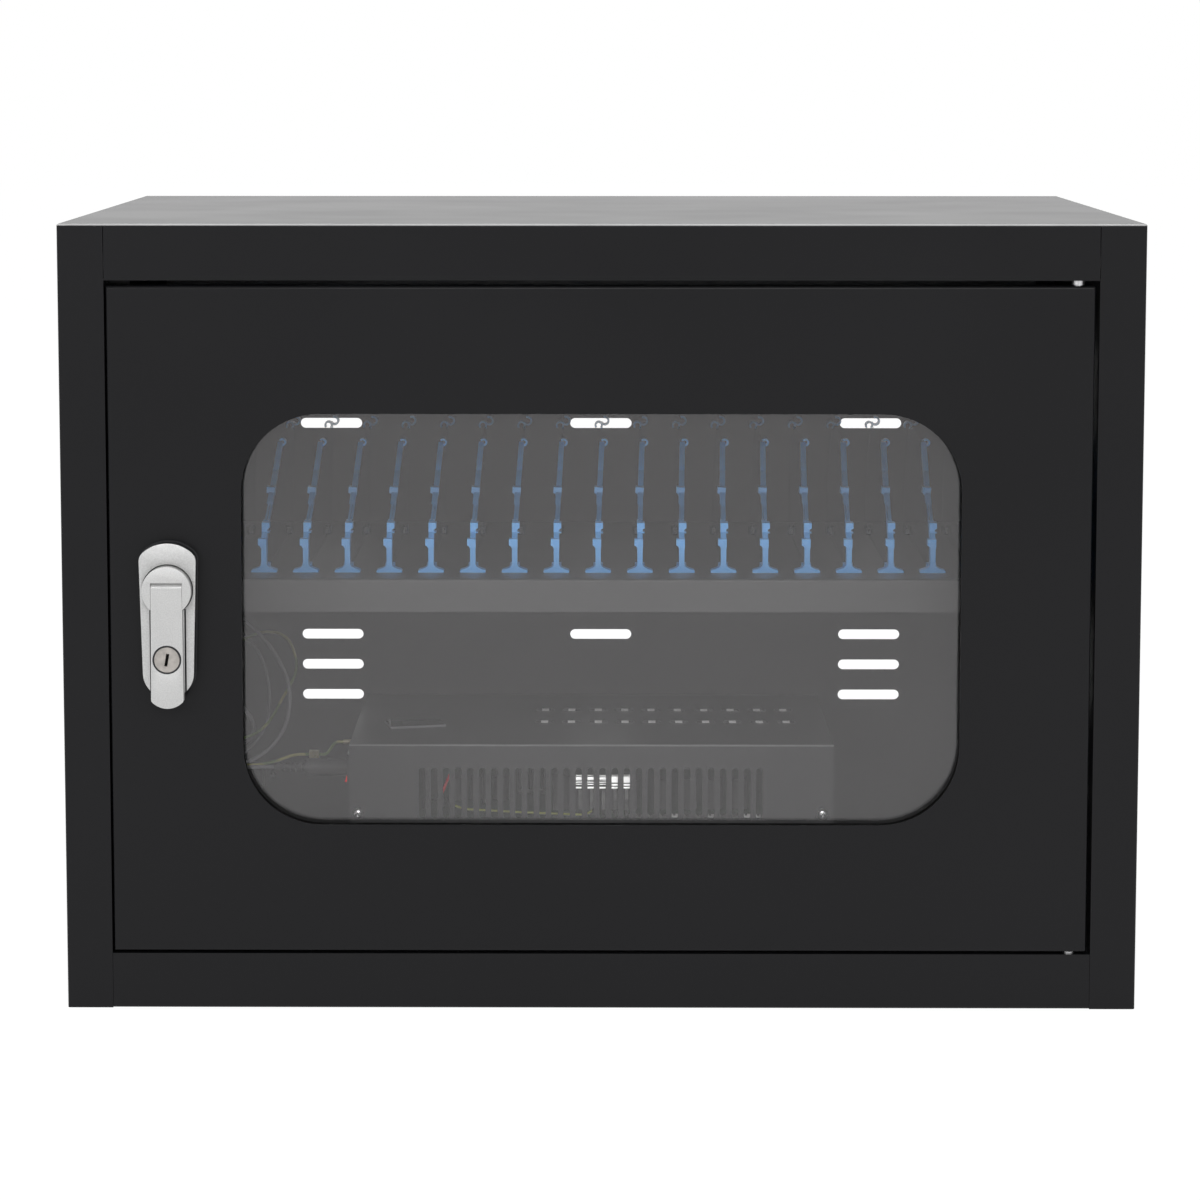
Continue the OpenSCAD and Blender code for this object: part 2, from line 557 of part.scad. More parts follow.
// Screws, ring terminals and the connector of the earth wires.
module earth_studs() color([0.75, 0.7, 0.5]) {
  for (p = [[106, 176], [126, 196]]) {
    cyl_x(p[0], p[1], stud_x, stud_x + 12, 2);
    cyl_x(p[0], p[1], stud_x, stud_x + 4.2, 4);
    cyl_x(p[0], p[1], stud_x + 6, stud_x + 9.4, 3.6);
    box([stud_x + 3.2, p[0] - 1.6, p[1] - 5.6], [stud_x + 4.2, p[0] + 1.6, p[1]]);
    cyl_x(p[0], p[1] - 5.6, stud_x + 3.2, stud_x + 13.2, 1.75);
  }
  translate([-300, 118, sheet]) {
    cylinder(h = 4.2, r = 4);
    cylinder(h = 10, r = 2);
    translate([0, -1.6, 3.2]) cube([5.6, 3.2, 1]);
    translate([5.6, 0, 3.2]) cylinder(h = 10, r = 1.75);
  }
  cyl_x(84, 113, hub_x0 - 9, hub_x0 + 1, 1.9);
  cyl_x(84, 113, hub_x0 - 3, hub_x0, 3.4);
  box([-209.5, 79.2, 101.4], [-202.5, 84.8, 107]);
}

// The door.
// Outline of the window, widened by g all round.
module window_shape(g = 0, r = 0)
  rr(-window_w / 2 - g, window_z - window_h / 2 - g, window_w / 2 + g, window_z + window_h / 2 + g,
     r > 0 ? r : window_r + g);

module door_panel() color([0.15, 0.15, 0.16]) difference() {
  intersection() {
    box([dx0, yf, dz0], [dx1, yf + door_return, dz1]);
    along_x(dx0, dx1) rr(yf, dz0, yf + 60, dz1, 1.6);
    translate([0, 0, dz0]) linear_extrude(dz1 - dz0) rr(dx0, yf, dx1, yf + 60, 1.6);
  }
  box([dx0 + sheet, yf + sheet, dz0 + sheet], [dx1 - sheet, yf + 60, dz1 - sheet]);
  along_y(yf - 1, yf + 3) window_shape();
  for (z = [rz, 216, 286]) cyl_y(lock_x, z + lock_up, yf - 1, yf + 3, z == rz ? 7 : 2.6);
  translate([hinge_x, hinge_y, dz0 - 1]) cylinder(h = dz1 - dz0 + 2, r = pin_r + 0.06);
}

module door_pane() color([0.6, 0.65, 0.68, 0.35])
  along_y(py0, py0 + pane) window_shape(14, 40);

module pane_seal() color([0.03, 0.03, 0.03]) along_y(yf + sheet, py0) difference() {
  window_shape(13, 39);
  window_shape(0.3);
}

function nut_pts() = concat(
  [for (x = [-180 : 90 : 180], s = [-1, 1]) [x, window_z + s * (window_h / 2 + 20)]],
  [for (z = [-75, 0, 75], s = [-1, 1]) [s * (window_w / 2 + 20), window_z + z]]);

module pane_frame() color([0.17, 0.17, 0.18]) difference() {
  union() {
    along_y(py0 + pane, py0 + pane + sheet) window_shape(26, 12);
    // collars that carry the rim off the door
    for (p = nut_pts()) cyl_y(p[0], p[1], yf + sheet, py0 + pane + 0.1, 4.2);
  }
  along_y(yf, yf + 20) window_shape(6);
  for (p = nut_pts()) cyl_y(p[0], p[1], yf + sheet - 1, yf + 20, 1.6);
}

module pane_nuts() color([0.75, 0.75, 0.77]) for (p = nut_pts()) {
  cyl_y(p[0], p[1], yf + sheet, py0 + pane + sheet + 5.8, 1.5);
  translate([p[0], py0 + pane + sheet + 2.4, p[1]])
    rotate([90, 0, 0]) cylinder(h = 2.4, r = 3.2, $fn = 6);
}

// The lock.
// Outline of the escutcheon around the middle of the lock; g widens it all round.
module lock_outline(g = 0) difference() {
  intersection() {
    polygon([[-18.25 - g, 300], [18.25 + g, 300], [15.4 + g, 190], [-15.4 - g, 190]]);
    union() { translate([0, 275]) circle(23 + g); translate([-30, 180]) square([60, 95]); }
    union() { translate([0, 215.8]) circle(16.1 + g); translate([-30, 215.8]) square([60, 97]); }
  }
  for (s = [-1, 1]) difference() {
    polygon([[s * 9.9, 286.27], [s * 30, 286.27], [s * 30, 309], [s * 25.75, 304.3]]);
    translate([s * 9.9, 286.27]) circle(8 + g);
  }
}

module lock_seal() color([0.05, 0.05, 0.05]) translate([lock_x, 0, lock_up]) difference() {
  along_y(ys, yf) lock_outline(0.7);
  for (z = [rz, 216, 286]) cyl_y(0, z, ys - 1, yf + 1, z == rz ? 7 : 2.6);
}

module lock_base() color([0.78, 0.78, 0.78]) translate([lock_x, 0, lock_up]) difference() {
  along_y(yl, ys) lock_outline();
  // shaft bore, and grooves beside the handle
  cyl_y(0, rz, yl - 1, yf + 1, 5.05);
  for (s = [-1, 1]) box([s * 10.9 - 0.5, yl - 1, 195], [s * 10.9 + 0.5, yl + 2.5, rz - 12]);
  cyl_y(0, rz, yl - 1, yl + 2.5, rotor_r + 0.6);
  for (z = [216, 286]) cyl_y(0, z, ys - 5, yf + 1, 1.6);
}

// Plate and screws that hold the lock from inside the door.
module lock_clamp() color([0.6, 0.6, 0.62]) translate([lock_x, 0, lock_up]) {
  difference() {
    along_y(yf + sheet, yf + sheet + 2) rr(-13, 207, 13, 295, 5);
    cyl_y(0, rz, yf, yf + 5, 7);
  }
  for (z = [216, 286]) {
    cyl_y(0, z, ys - 4.8, yf + sheet + 2, 1.5);
    translate([0, yf + sheet + 4.6, z]) rotate([90, 0, 0]) cylinder(h = 2.6, r = 3.6, $fn = 6);
  }
}

module lock_rotor() color([0.8, 0.8, 0.8]) translate([lock_x, 0, lock_up]) difference() {
  union() {
    cyl_y(0, rz, yh, yl + 2.2, rotor_r);
    cyl_y(0, rz, yl + 2, -186, 5);
  }
  // fork for the handle
  box([-9.95, yh - 1, rz - 30], [9.95, yh + handle_t + 0.25, piv_z + handle_t / 2 + 0.25]);
  difference() {
    cyl_y(0, rz, -196, -180, 9);
    box([-4, -197, rz - 4], [4, -179, rz + 4]);
  }
  cyl_x(piv_y, piv_z, -13, 13, 1.3);
}

module lock_cam() color([0.7, 0.7, 0.72]) translate([lock_x, 0, lock_up]) {
  difference() {
    along_y(-193.4, -190.4) union() {
      translate([0, rz]) circle(9);
      translate([-7.5, rz]) square([15, 27]);
      translate([0, rz + 27]) circle(7.5);
    }
    box([-4, -195, rz - 4], [4, -180, rz + 4]);
  }
  translate([0, -183.8, rz]) rotate([90, 0, 0]) cylinder(h = 2.2, r = 4.4, $fn = 6);
}

module lock_handle() color([0.8, 0.8, 0.8]) translate([lock_x, 0, lock_up]) {
  difference() {
    union() {
      intersection() {
        along_y(yh, yh + handle_t) union() {
          polygon([[-9.7, piv_z + 4], [9.7, piv_z + 4], [10.2, 200], [9.45, 198.2], [-9.45, 198.2],
                   [-10.2, 200]]);
          intersection() { translate([0, 207.8]) circle(13.5); translate([-9.45, 190]) square([18.9, 12]); }
          for (s = [-1, 1]) translate([s * 7.7, 199.95]) circle(2.5);
        }
        along_x(-12, 12) union() {
          translate([piv_y, piv_z]) circle(handle_t / 2);
          translate([yh, 190]) square([handle_t, piv_z - 190]);
        }
      }
    }
    cyl_y(0, key_z, yh - 1, yh + handle_t - 1.2, key_r + 0.06);
  }
  cyl_x(piv_y, piv_z, -12.8, 12.8, 1.25);
}

module lock_key() color([0.62, 0.58, 0.55]) translate([lock_x, 0, key_z + lock_up]) difference() {
  union() {
    cyl_y(0, 0, yh, yh + handle_t - 1.3, key_r);
    translate([0, yh, 0]) rotate([90, 0, 0]) cylinder(h = 0.5, r1 = key_r, r2 = key_r - 0.5);
  }
  rotate([0, 10, 0]) box([-0.95, yh - 1, -4], [0.95, yh + 4, 4]);
}

// The whole.
shell();
floor_panel();
back_panel();
shelf();
shelf_bracket_left();
shelf_bracket_right();
shelf_screws();
hinge_pins();
catch_buffers();
for (i = [0 : div_n - 1]) divider(i);
divider_screws();
hub_chassis();
hub_cover();
hub_board();
hub_parts();
hub_wire();
usb_shells();
usb_tongues();
hub_screws();
switch_housing();
switch_rocker();
power_inlet();
inlet_pins();
lead_plug();
power_lead();
earth_wire();
bond_wire();
earth_studs();
door_panel();
door_pane();
pane_seal();
pane_frame();
pane_nuts();
lock_seal();
lock_base();
lock_clamp();
lock_rotor();
lock_cam();
lock_handle();
lock_key();
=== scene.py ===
"""Charging cabinet: finishes, softened castings, blank label and studio, over the CAD frame."""
import math

import bmesh
import bpy
from mathutils import Matrix, Vector


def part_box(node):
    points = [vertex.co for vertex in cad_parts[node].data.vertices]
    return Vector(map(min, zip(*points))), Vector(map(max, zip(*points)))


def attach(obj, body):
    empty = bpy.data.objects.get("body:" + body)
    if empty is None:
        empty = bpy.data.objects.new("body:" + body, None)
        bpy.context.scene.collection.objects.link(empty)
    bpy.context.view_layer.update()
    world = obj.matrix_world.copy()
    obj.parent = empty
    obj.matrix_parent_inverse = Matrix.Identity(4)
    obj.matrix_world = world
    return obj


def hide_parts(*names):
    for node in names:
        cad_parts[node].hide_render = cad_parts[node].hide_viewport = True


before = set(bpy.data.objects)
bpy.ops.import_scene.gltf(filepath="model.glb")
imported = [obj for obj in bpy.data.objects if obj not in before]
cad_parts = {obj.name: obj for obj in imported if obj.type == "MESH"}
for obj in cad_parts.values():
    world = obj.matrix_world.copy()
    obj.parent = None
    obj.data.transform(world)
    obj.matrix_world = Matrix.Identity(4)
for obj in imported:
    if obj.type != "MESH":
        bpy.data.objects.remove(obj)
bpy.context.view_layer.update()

bl_info = {
    "name": "Charging cabinet dressing",
    "version": (1, 0, 0),
    "blender": (4, 5, 0),
    "location": "View3D > Sidebar > Cabinet",
    "description": "Finishes and fine pieces for a glazed charging cabinet",
    "category": "Object",
}

DIVIDERS = [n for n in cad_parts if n.startswith("divider_") and n != "divider_screws"]

# Camera: the photograph's width and focal length in its pixels, the sensor in millimetres
PHOTO_WIDTH, FOCAL_LENGTH = 1200.0, 3502.7
SENSOR_WIDTH = 36.0
CAMERA_PLACE = (-0.00134, -2.39715, 0.60484)
CAMERA_PITCH, CAMERA_YAW = 0.104, -0.0068
CAMERA_SHIFT = (0.0205, -0.15)

# World: level of its light, what reflections meet in front of and behind the cabinet, and the
# directions' y between which the one gives way to the other
ROOM_LEVEL, DIM_ROOM, BACKDROP, ROOM_TURN = 0.42, 0.22, 1.0, (-0.5, 0.25)
# Floor: its radius, and the strength and share of its white where it is seen
FLOOR_RADIUS, FLOOR_GLOW, FLOOR_SHARE = 14.0, 1.08, 0.88

# Slope that turns a small facet towards the front lamp
FACET = math.tan(math.radians(19.0))

# Divider: height of its bend, lean above it, how far its clips stand in front, half its web
BEND_HEIGHT, LEAN, CLIP_DEPTH, WEB_HALF = 0.033, math.radians(3.3), 0.002, 0.0009
# Its front post: height at which it slopes back, run for each metre of rise, where it thins out
POST_HEIGHT, POST_SLOPE, POST_DEPTH = 0.022, 1.82, (0.016, 0.018)
# Its hook lies behind and above these
HOOK_BACK, HOOK_HEIGHT = 0.12, 0.0745
# How much of the thin parts, of the hook and of the web's flanks shows
THIN_SHARE, HOOK_SHARE, WEB_SHARE = 0.13, 0.6, 0.3
# Height of the moulding, and the shade of its colour up that height: darker where the moulding is
# thin, and brightened higher up as painted light where less lamp light reaches
MOULDING_HEIGHT = 0.1
MOULDING_SHADES_AND_LIGHT = ((0.0, 1.0), (0.325, 1.0), (0.335, 0.65), (0.40, 0.65), (0.41, 0.85),
                   (0.48, 0.85), (0.49, 0.95), (0.60, 0.95), (0.61, 1.45))

# Lock: half the width that its painted groove shade takes, and the clearance round the key cylinder
# where a ring of painted shade goes
GROOVE_HALF, KEY_CLEARANCE = 0.0169, 0.0009
# How far behind the face the painted shade in its grooves, on its flanks and in the cylinder's
# keyway starts
GROOVE_DEPTH, FLANK_DEPTH, KEYWAY_DEPTH = 0.0004, 0.0025, 0.0003

# Front screws of the power box: half the width and the reach of the cross of painted shade, rise of
# the head
SLOT_HALF, SLOT_REACH, HEAD_RISE = 0.00045, 0.62, 0.4

# Width of the painted highlight along a top front fold, and how light it is
SHELL_FOLD_HIGHLIGHT, BOX_FOLD_HIGHLIGHT = (0.0012, 0.42), (0.0011, 0.20)
# The painted light inside, a lighter shade of the same coat, starts this far behind the floor's
# front and ends this far before the back
INSIDE_START, INSIDE_END = 0.02, 0.0008

# Power box: sockets in a row, half a tongue, half of the pale middle inside a socket, partly white
# plastic and partly a painted highlight
SOCKETS, TONGUE_HALF, PALE_AND_HIGHLIGHT_HALF = 10, 0.0062, 0.0026
# Its board, less a skin: depth up to the front parts, and size of the terminal strip there
BOARD_SKIN, PARTS_DEPTH, STRIP_DEPTH, STRIP_HEIGHT = 0.0002, 0.0215, 0.006, 0.004
# Header: height of its foot, length, pitch and pale share of its pins
HEADER_FOOT, PIN_LENGTH, PIN_PITCH, PIN_SHARE = 0.0893, 0.0055, 0.0021, 0.6
# Where the box's two wires have their colour: x from and to, y up to, z from and to
LIME_STRETCH = (-0.104, -0.006, 0.0345, 0.07, 0.081)
RED_STRETCH = (-0.1150, -0.1040, 0.05, 0.081, 0.108)

# Blank label: its front left corner, thickness, the rounding of its corners and of its edges
LABEL_CORNER, LABEL_THICKNESS, LABEL_ROUND, LABEL_EDGE = (-0.1503, 0.0705), 0.0016, 0.0012, 0.00022
# The tab at its left end: size, and how far behind the round corner it starts
LABEL_TAB, TAB_START = (0.0007, 0.006, 0.0045), 0.001

# Radii of the leads
MAINS_RADIUS, EARTH_RADIUS, BOND_RADIUS = 0.00135, 0.00105, 0.0009

# Corners of the leads in millimetres, as the frame has them
MILLIMETRE = 0.001
MAINS_LEAD = ((-268, 196.98, 62), (-268, 184, 62), (-286, 160, 72), (-274, 142, 92),
              (-250, 128, 112), (-262, 122, 134), (-300, 114, 150), (-318, 110, 180),
              (-300, 104, 210), (-264, 100, 206), (-240, 97, 184), (-223, 94, 154),
              (-226, 90, 122), (-243, 86, 102), (-274, 84, 91), (-304, 86, 82), (-326, 70, 92),
              (-304, 54, 102), (-270, 62, 99), (-231, 62, 99))
EARTH_SHORT = ((-185.02, 84, 113), (-191, 84, 113), (-197, 82, 104.2), (-202.48, 82, 104.2))
EARTH_LONG = ((-209.52, 82, 104.2), (-220, 82, 104.2), (-240, 73, 98.5), (-272, 72, 98),
              (-300, 82, 104), (-316, 100, 114), (-296, 110, 117), (-266, 107, 108),
              (-243, 105, 118), (-230, 105, 142), (-218, 105, 163), (-226, 105, 187),
              (-243, 106, 190.5), (-268, 106, 180), (-300, 106, 170.4), (-325.58, 106, 170.4))
BOND = ((-325.58, 126, 190.4), (-312, 126, 190.4), (-292, 124, 198), (-266, 119, 192),
        (-246, 116, 172), (-240, 114, 144), (-242, 112.5, 120), (-256, 113, 100),
        (-280, 117, 84), (-294.4, 118, 62), (-294.4, 118, 14.42))


def colour_setting(name, value, what):
    return bpy.props.FloatVectorProperty(name=name, description=what + ": colour",
                                         subtype="COLOR", size=3, min=0.0, max=1.0, default=value)


def length_setting(name, value, low, high, words):
    return bpy.props.FloatProperty(name=name, description=words, subtype="DISTANCE", unit="LENGTH",
                                   min=low, max=high, default=value)


class FinishSettings(bpy.types.PropertyGroup):
    coat: colour_setting("Powder coat", (0.0062, 0.0062, 0.0072), "Folded steel outside")
    shelf_coat: colour_setting("Shelf coat", (0.048, 0.048, 0.049), "Shelf and brackets")
    # lighter than the outside coat: painted light on the inside of the floor and back, which have
    # the same coat
    panel_coat_and_painted_light: colour_setting("Panel coat and painted light", (0.060, 0.060, 0.061), "Floor and back inside")
    box_coat: colour_setting("Power box coat", (0.057, 0.057, 0.059), "Power box")
    divider: colour_setting("Divider", (0.10, 0.33, 0.68), "Moulded dividers")
    casting: colour_setting("Lock casting", (0.52, 0.52, 0.517), "Lacquered lock castings")
    cylinder: colour_setting("Key cylinder", (0.42, 0.395, 0.37), "Turned key cylinder")
    haze: bpy.props.FloatProperty(name="Pane haze", subtype="FACTOR",
                                  description="Share of the light that the pane mirrors",
                                  min=0.0, max=1.0, default=0.05)
    orange_peel: length_setting("Orange peel", 0.0011, 0.0002, 0.01, "Width of a coat ripple")


class ShapeSettings(bpy.types.PropertyGroup):
    casting_edge: length_setting("Casting edge", 0.0007, 0.0, 0.002, "Rounding of the lock's edges")
    label_width: length_setting("Label width", 0.0405, 0.01, 0.1, "Width of the blank label")
    label_depth: length_setting("Label depth", 0.024, 0.01, 0.1, "Depth of the blank label")
    label_turn: bpy.props.FloatProperty(name="Label turn", subtype="ANGLE", unit="ROTATION",
                                        description="How far the label lies askew",
                                        min=-0.5, max=0.5, default=0.23)


def shade(colour, factor):
    return tuple(min(1.0, c * factor) for c in colour)


class Nodes:
    """A node tree, with short calls for the nodes that the finishes and the world share."""

    def __init__(self, tree):
        self.nodes, self.links = tree.nodes, tree.links
        self.coords = self.nodes.new("ShaderNodeTexCoord").outputs

    def link(self, a, b):
        self.links.new(a, b)

    def feed(self, socket, value):
        """Gives a socket a number, a colour or another node's output."""
        if isinstance(value, (int, float)):
            socket.default_value = value
        elif isinstance(value, tuple):
            socket.default_value = (*value, 1.0)
        else:
            self.link(value, socket)

    def parts(self, output):
        """The three numbers of a point or direction."""
        node = self.nodes.new("ShaderNodeSeparateXYZ")
        self.link(self.coords[output], node.inputs[0])
        return node.outputs

    def math(self, kind, a, b=0.0):
        node = self.nodes.new("ShaderNodeMath")
        node.operation = kind
        for socket, value in zip(node.inputs, (a, b)):
            self.feed(socket, value)
        return node.outputs[0]

    def away(self, value, middle):
        """How far a value lies from a middle."""
        return self.math("ABSOLUTE", self.math("SUBTRACT", value, middle))

    def away_in_row(self, value, first, pitch):
        """How far a value lies from the nearest of a row; whole pitches keep the rest positive."""
        place = self.math("ADD", value, pitch * 50.5 - first)
        return self.away(self.math("MODULO", place, pitch), pitch / 2)

    def every(self, *tests):
        """1 where all tests hold; a test is a value, LESS_THAN or GREATER_THAN, and its limit."""
        result = None
        for value, kind, limit in tests:
            held = self.math(kind, value, limit)
            result = held if result is None else self.math("MULTIPLY", result, held)
        return result

    def range(self, value, low, high, from_low=0.3, from_high=0.7):
        node = self.nodes.new("ShaderNodeMapRange")
        for socket, number in (("From Min", from_low), ("From Max", from_high),
                               ("To Min", low), ("To Max", high)):
            node.inputs[socket].default_value = number
        self.link(value, node.inputs["Value"])
        return node.outputs["Result"]

    def mixed(self, fac, a, b, blend="MIX", data="RGBA"):
        node = self.nodes.new("ShaderNodeMix")
        node.data_type = data
        node.blend_type = blend
        for socket, value in (("Factor", fac), ("A", a), ("B", b)):
            self.feed(node.inputs[socket], value)
        return node.outputs["Result"]


class Finish(Nodes):
    """A material, with short calls for what its shader needs."""

    def __init__(self, name, colour, roughness, metallic=0.0):
        self.material = bpy.data.materials.new(name)
        self.material.use_nodes = True
        super().__init__(self.material.node_tree)
        self.shader = self.nodes["Principled BSDF"]
        self.set("Base Color", (*colour, 1.0))
        self.set("Roughness", roughness)
        self.set("Metallic", metallic)
        self.material.diffuse_color = (*colour, 1.0)

    def set(self, socket, value):
        self.shader.inputs[socket].default_value = value

    def colour(self, output):
        self.link(output, self.shader.inputs["Base Color"])

    def roughness(self, output):
        self.link(output, self.shader.inputs["Roughness"])

    def bump(self, height, strength, distance):
        node = self.nodes.new("ShaderNodeBump")
        node.inputs["Strength"].default_value = strength
        node.inputs["Distance"].default_value = distance
        self.link(height, node.inputs["Height"])
        self.link(node.outputs["Normal"], self.shader.inputs["Normal"])

    def noise(self, scale, detail=2.0):
        node = self.nodes.new("ShaderNodeTexNoise")
        node.inputs["Scale"].default_value = scale
        node.inputs["Detail"].default_value = detail
        self.link(self.coords["Object"], node.inputs["Vector"])
        return node.outputs["Fac"]

    def ramp(self, fac, *stops):
        node = self.nodes.new("ShaderNodeValToRGB")
        ramp = node.color_ramp
        while len(ramp.elements) < len(stops):
            ramp.elements.new(0.5)
        for element, (place, colour) in zip(ramp.elements, stops):
            element.position = place
            element.color = (*colour, 1.0)
        self.link(fac, node.inputs["Fac"])
        return node.outputs["Color"]

    def mottled(self, colour, scale, low, high, detail=2.0, span=(0.3, 0.7)):
        """A colour that wanders between two of its shades."""
        return self.ramp(self.noise(scale, detail),
                         (span[0], shade(colour, low)), (span[1], shade(colour, high)))

    def uneven_gloss(self, scale, low, high, detail=2.0):
        """A roughness that wanders between two levels."""
        self.roughness(self.range(self.noise(scale, detail), low, high))

    def grain(self, scale, strength, depth, detail=1.0):
        """Fine relief all over the surface."""
        self.bump(self.noise(scale, detail), strength, depth)


def powder_coat(name, colour, peel, specular=0.12, gloss=0.36, coat=0.31, ripple=0.10,
                fold=None, inside=None):
    """Semi-matt powder coat: a fine orange peel under a smooth skin.

    Along a top front fold it is painted lighter as a painted highlight, and inside the cabinet the
    same coat is painted lighter as painted light.
    """
    f = Finish(name, colour, gloss)
    f.set("Specular IOR Level", specular)
    f.set("Coat Weight", coat)
    f.set("Coat IOR", 1.32)
    f.set("Coat Roughness", 0.16)
    tone = f.mottled(colour, 5.0, 0.94, 1.06)
    if fold:
        front, top, width, light = fold
        _, y, z = f.parts("Object")
        # painted highlight: a lighter band along the top front fold, where the bend would catch the
        # lamps
        edge = f.every((y, "LESS_THAN", front + width), (z, "GREATER_THAN", top - width))
        tone = f.mixed(edge, tone, f.mottled((light,) * 3, 30.0, 0.9, 1.05))
    if inside:
        # painted light: inside the cabinet the same coat is painted a lighter shade
        front, back, light = inside
        y = f.parts("Object")[1]
        within = f.every((y, "GREATER_THAN", front), (y, "LESS_THAN", back))
        tone = f.mixed(within, tone, f.mottled(light, 5.0, 0.95, 1.05))
    f.colour(tone)
    f.uneven_gloss(11.0, gloss * 0.95, gloss * 1.08, 1.0)
    f.grain(1.0 / peel, ripple, peel * 0.05)
    return f.material


def moulded_divider(name, colour, pitch, first, foot, bend, front):
    """Tinted moulding: its web hardly shows, and its post has more colour where it is thick; up its
    height the colour is also brightened as painted light.
    """
    f = Finish(name, colour, 0.32)
    f.set("Specular IOR Level", 0.5)
    f.set("Subsurface Weight", 0.15)
    f.set("Subsurface Radius", (0.002, 0.003, 0.006))
    f.set("Subsurface Scale", 1.0)
    x, y, z = f.parts("Object")
    over_bend = f.math("MAXIMUM", f.math("SUBTRACT", z, bend), 0.0)
    upright = f.math("SUBTRACT", x, f.math("MULTIPLY", over_bend, math.tan(LEAN)))
    flank = f.math("ABSOLUTE", f.parts("Normal")[0])
    web = f.every((f.away_in_row(upright, first, pitch), "LESS_THAN", WEB_HALF),
                  (flank, "GREATER_THAN", 0.9))
    # the sloping front post is seen through the moulding's whole depth, the rest through its wall
    rise = f.math("MAXIMUM", f.math("SUBTRACT", z, foot + POST_HEIGHT), 0.0)
    edge = f.math("ADD", f.math("MULTIPLY", rise, POST_SLOPE), front)
    shown = f.range(f.math("SUBTRACT", y, edge), 1.0, THIN_SHARE, *POST_DEPTH)
    hook = f.every((y, "GREATER_THAN", HOOK_BACK), (z, "GREATER_THAN", foot + HOOK_HEIGHT))
    shown = f.math("MAXIMUM", shown, f.math("MULTIPLY", hook, HOOK_SHARE))
    thinned = f.range(web, 1.0, WEB_SHARE, 0.0, 1.0)
    f.link(f.math("MULTIPLY", shown, thinned), f.shader.inputs["Alpha"])
    # shade up the height: darker where the moulding is thin, brighter higher up as painted light
    height = f.range(z, 0.0, 1.0, foot, foot + MOULDING_HEIGHT)
    depth = f.ramp(height, *((place, (level,) * 3) for place, level in MOULDING_SHADES_AND_LIGHT))
    f.colour(f.mixed(1.0, f.mottled(colour, 60.0, 0.93, 1.06), depth, "MULTIPLY"))
    f.grain(700.0, 0.06, 0.0001)
    return f.material


def plated(name, colour, roughness=0.3):
    """Plating with the mottled look of small fasteners."""
    f = Finish(name, colour, roughness, 1.0)
    f.colour(f.mottled(colour, 260.0, 0.82, 1.15, 3.0))
    f.uneven_gloss(420.0, roughness * 0.8, roughness * 1.35)
    f.grain(900.0, 0.08, 0.0001, 2.0)
    return f.material


def cross_head_screw(name, colour, middle, half, height, radius):
    """Bright raised heads of a pair of screws, sloping up and down from a cross recess that is
    painted dark as painted shade.
    """
    f = Finish(name, colour, 0.33, 1.0)
    x, _, z = f.parts("Object")
    side = f.math("SUBTRACT", f.away(x, middle), half)
    rise = f.math("SUBTRACT", z, height)
    side_squared = f.math("MULTIPLY", side, side)
    square = f.math("ADD", side_squared, f.math("MULTIPLY", rise, rise))
    fall = f.math("ADD", f.math("MULTIPLY", f.math("ABSOLUTE", rise), FACET),
                  f.math("MULTIPLY", side_squared, HEAD_RISE / (2.0 * radius)))
    # the cross stands turned by 30 degrees
    first = f.math("ADD", f.math("MULTIPLY", side, 0.5), f.math("MULTIPLY", rise, 0.87))
    second = f.math("SUBTRACT", f.math("MULTIPLY", side, 0.87), f.math("MULTIPLY", rise, 0.5))
    slot = f.math("MINIMUM", f.math("ABSOLUTE", first), f.math("ABSOLUTE", second))
    # painted shade: the cross recess is a dark colour where shade would fall
    cross = f.every((slot, "LESS_THAN", SLOT_HALF),
                    (square, "LESS_THAN", (SLOT_REACH * radius) ** 2))
    f.colour(f.mixed(cross, f.mottled(colour, 300.0, 0.85, 1.0), shade(colour, 0.12)))
    f.bump(f.math("MULTIPLY", fall, -1.0), 1.0, 1.0)
    return f.material


def lacquered_casting(name, colour, groove_middle=None, face=None, bore=None):
    """Satin silver lacquer on a zinc casting, with painted shade in its grooves, on its flanks and
    in a ring round the key cylinder.
    """
    f = Finish(name, colour, 0.44, 0.55)
    tone = f.mottled(colour, 1400.0, 0.93, 1.07, 1.0, (0.35, 0.65))
    x, y, z = f.parts("Object")
    # painted shade: a dark colour where shade falls in the grooves, on the side walls and round the
    # key cylinder
    dark = (0.028, 0.029, 0.032)
    if face is not None:
        groove_shade = f.every((f.away(x, groove_middle), "LESS_THAN", GROOVE_HALF),
                       (y, "GREATER_THAN", face + GROOVE_DEPTH))
        flank = f.every((y, "GREATER_THAN", face + FLANK_DEPTH))
        tone = f.mixed(f.math("MAXIMUM", groove_shade, flank), tone, dark)
    if bore:
        centre_x, centre_z, radius = bore
        across, up = f.math("SUBTRACT", x, centre_x), f.math("SUBTRACT", z, centre_z)
        square = f.math("ADD", f.math("MULTIPLY", across, across), f.math("MULTIPLY", up, up))
        tone = f.mixed(f.every((square, "LESS_THAN", radius ** 2)), tone, dark)
    f.colour(tone)
    f.uneven_gloss(90.0, 0.38, 0.5)
    f.grain(1800.0, 0.1, 0.00006)
    return f.material


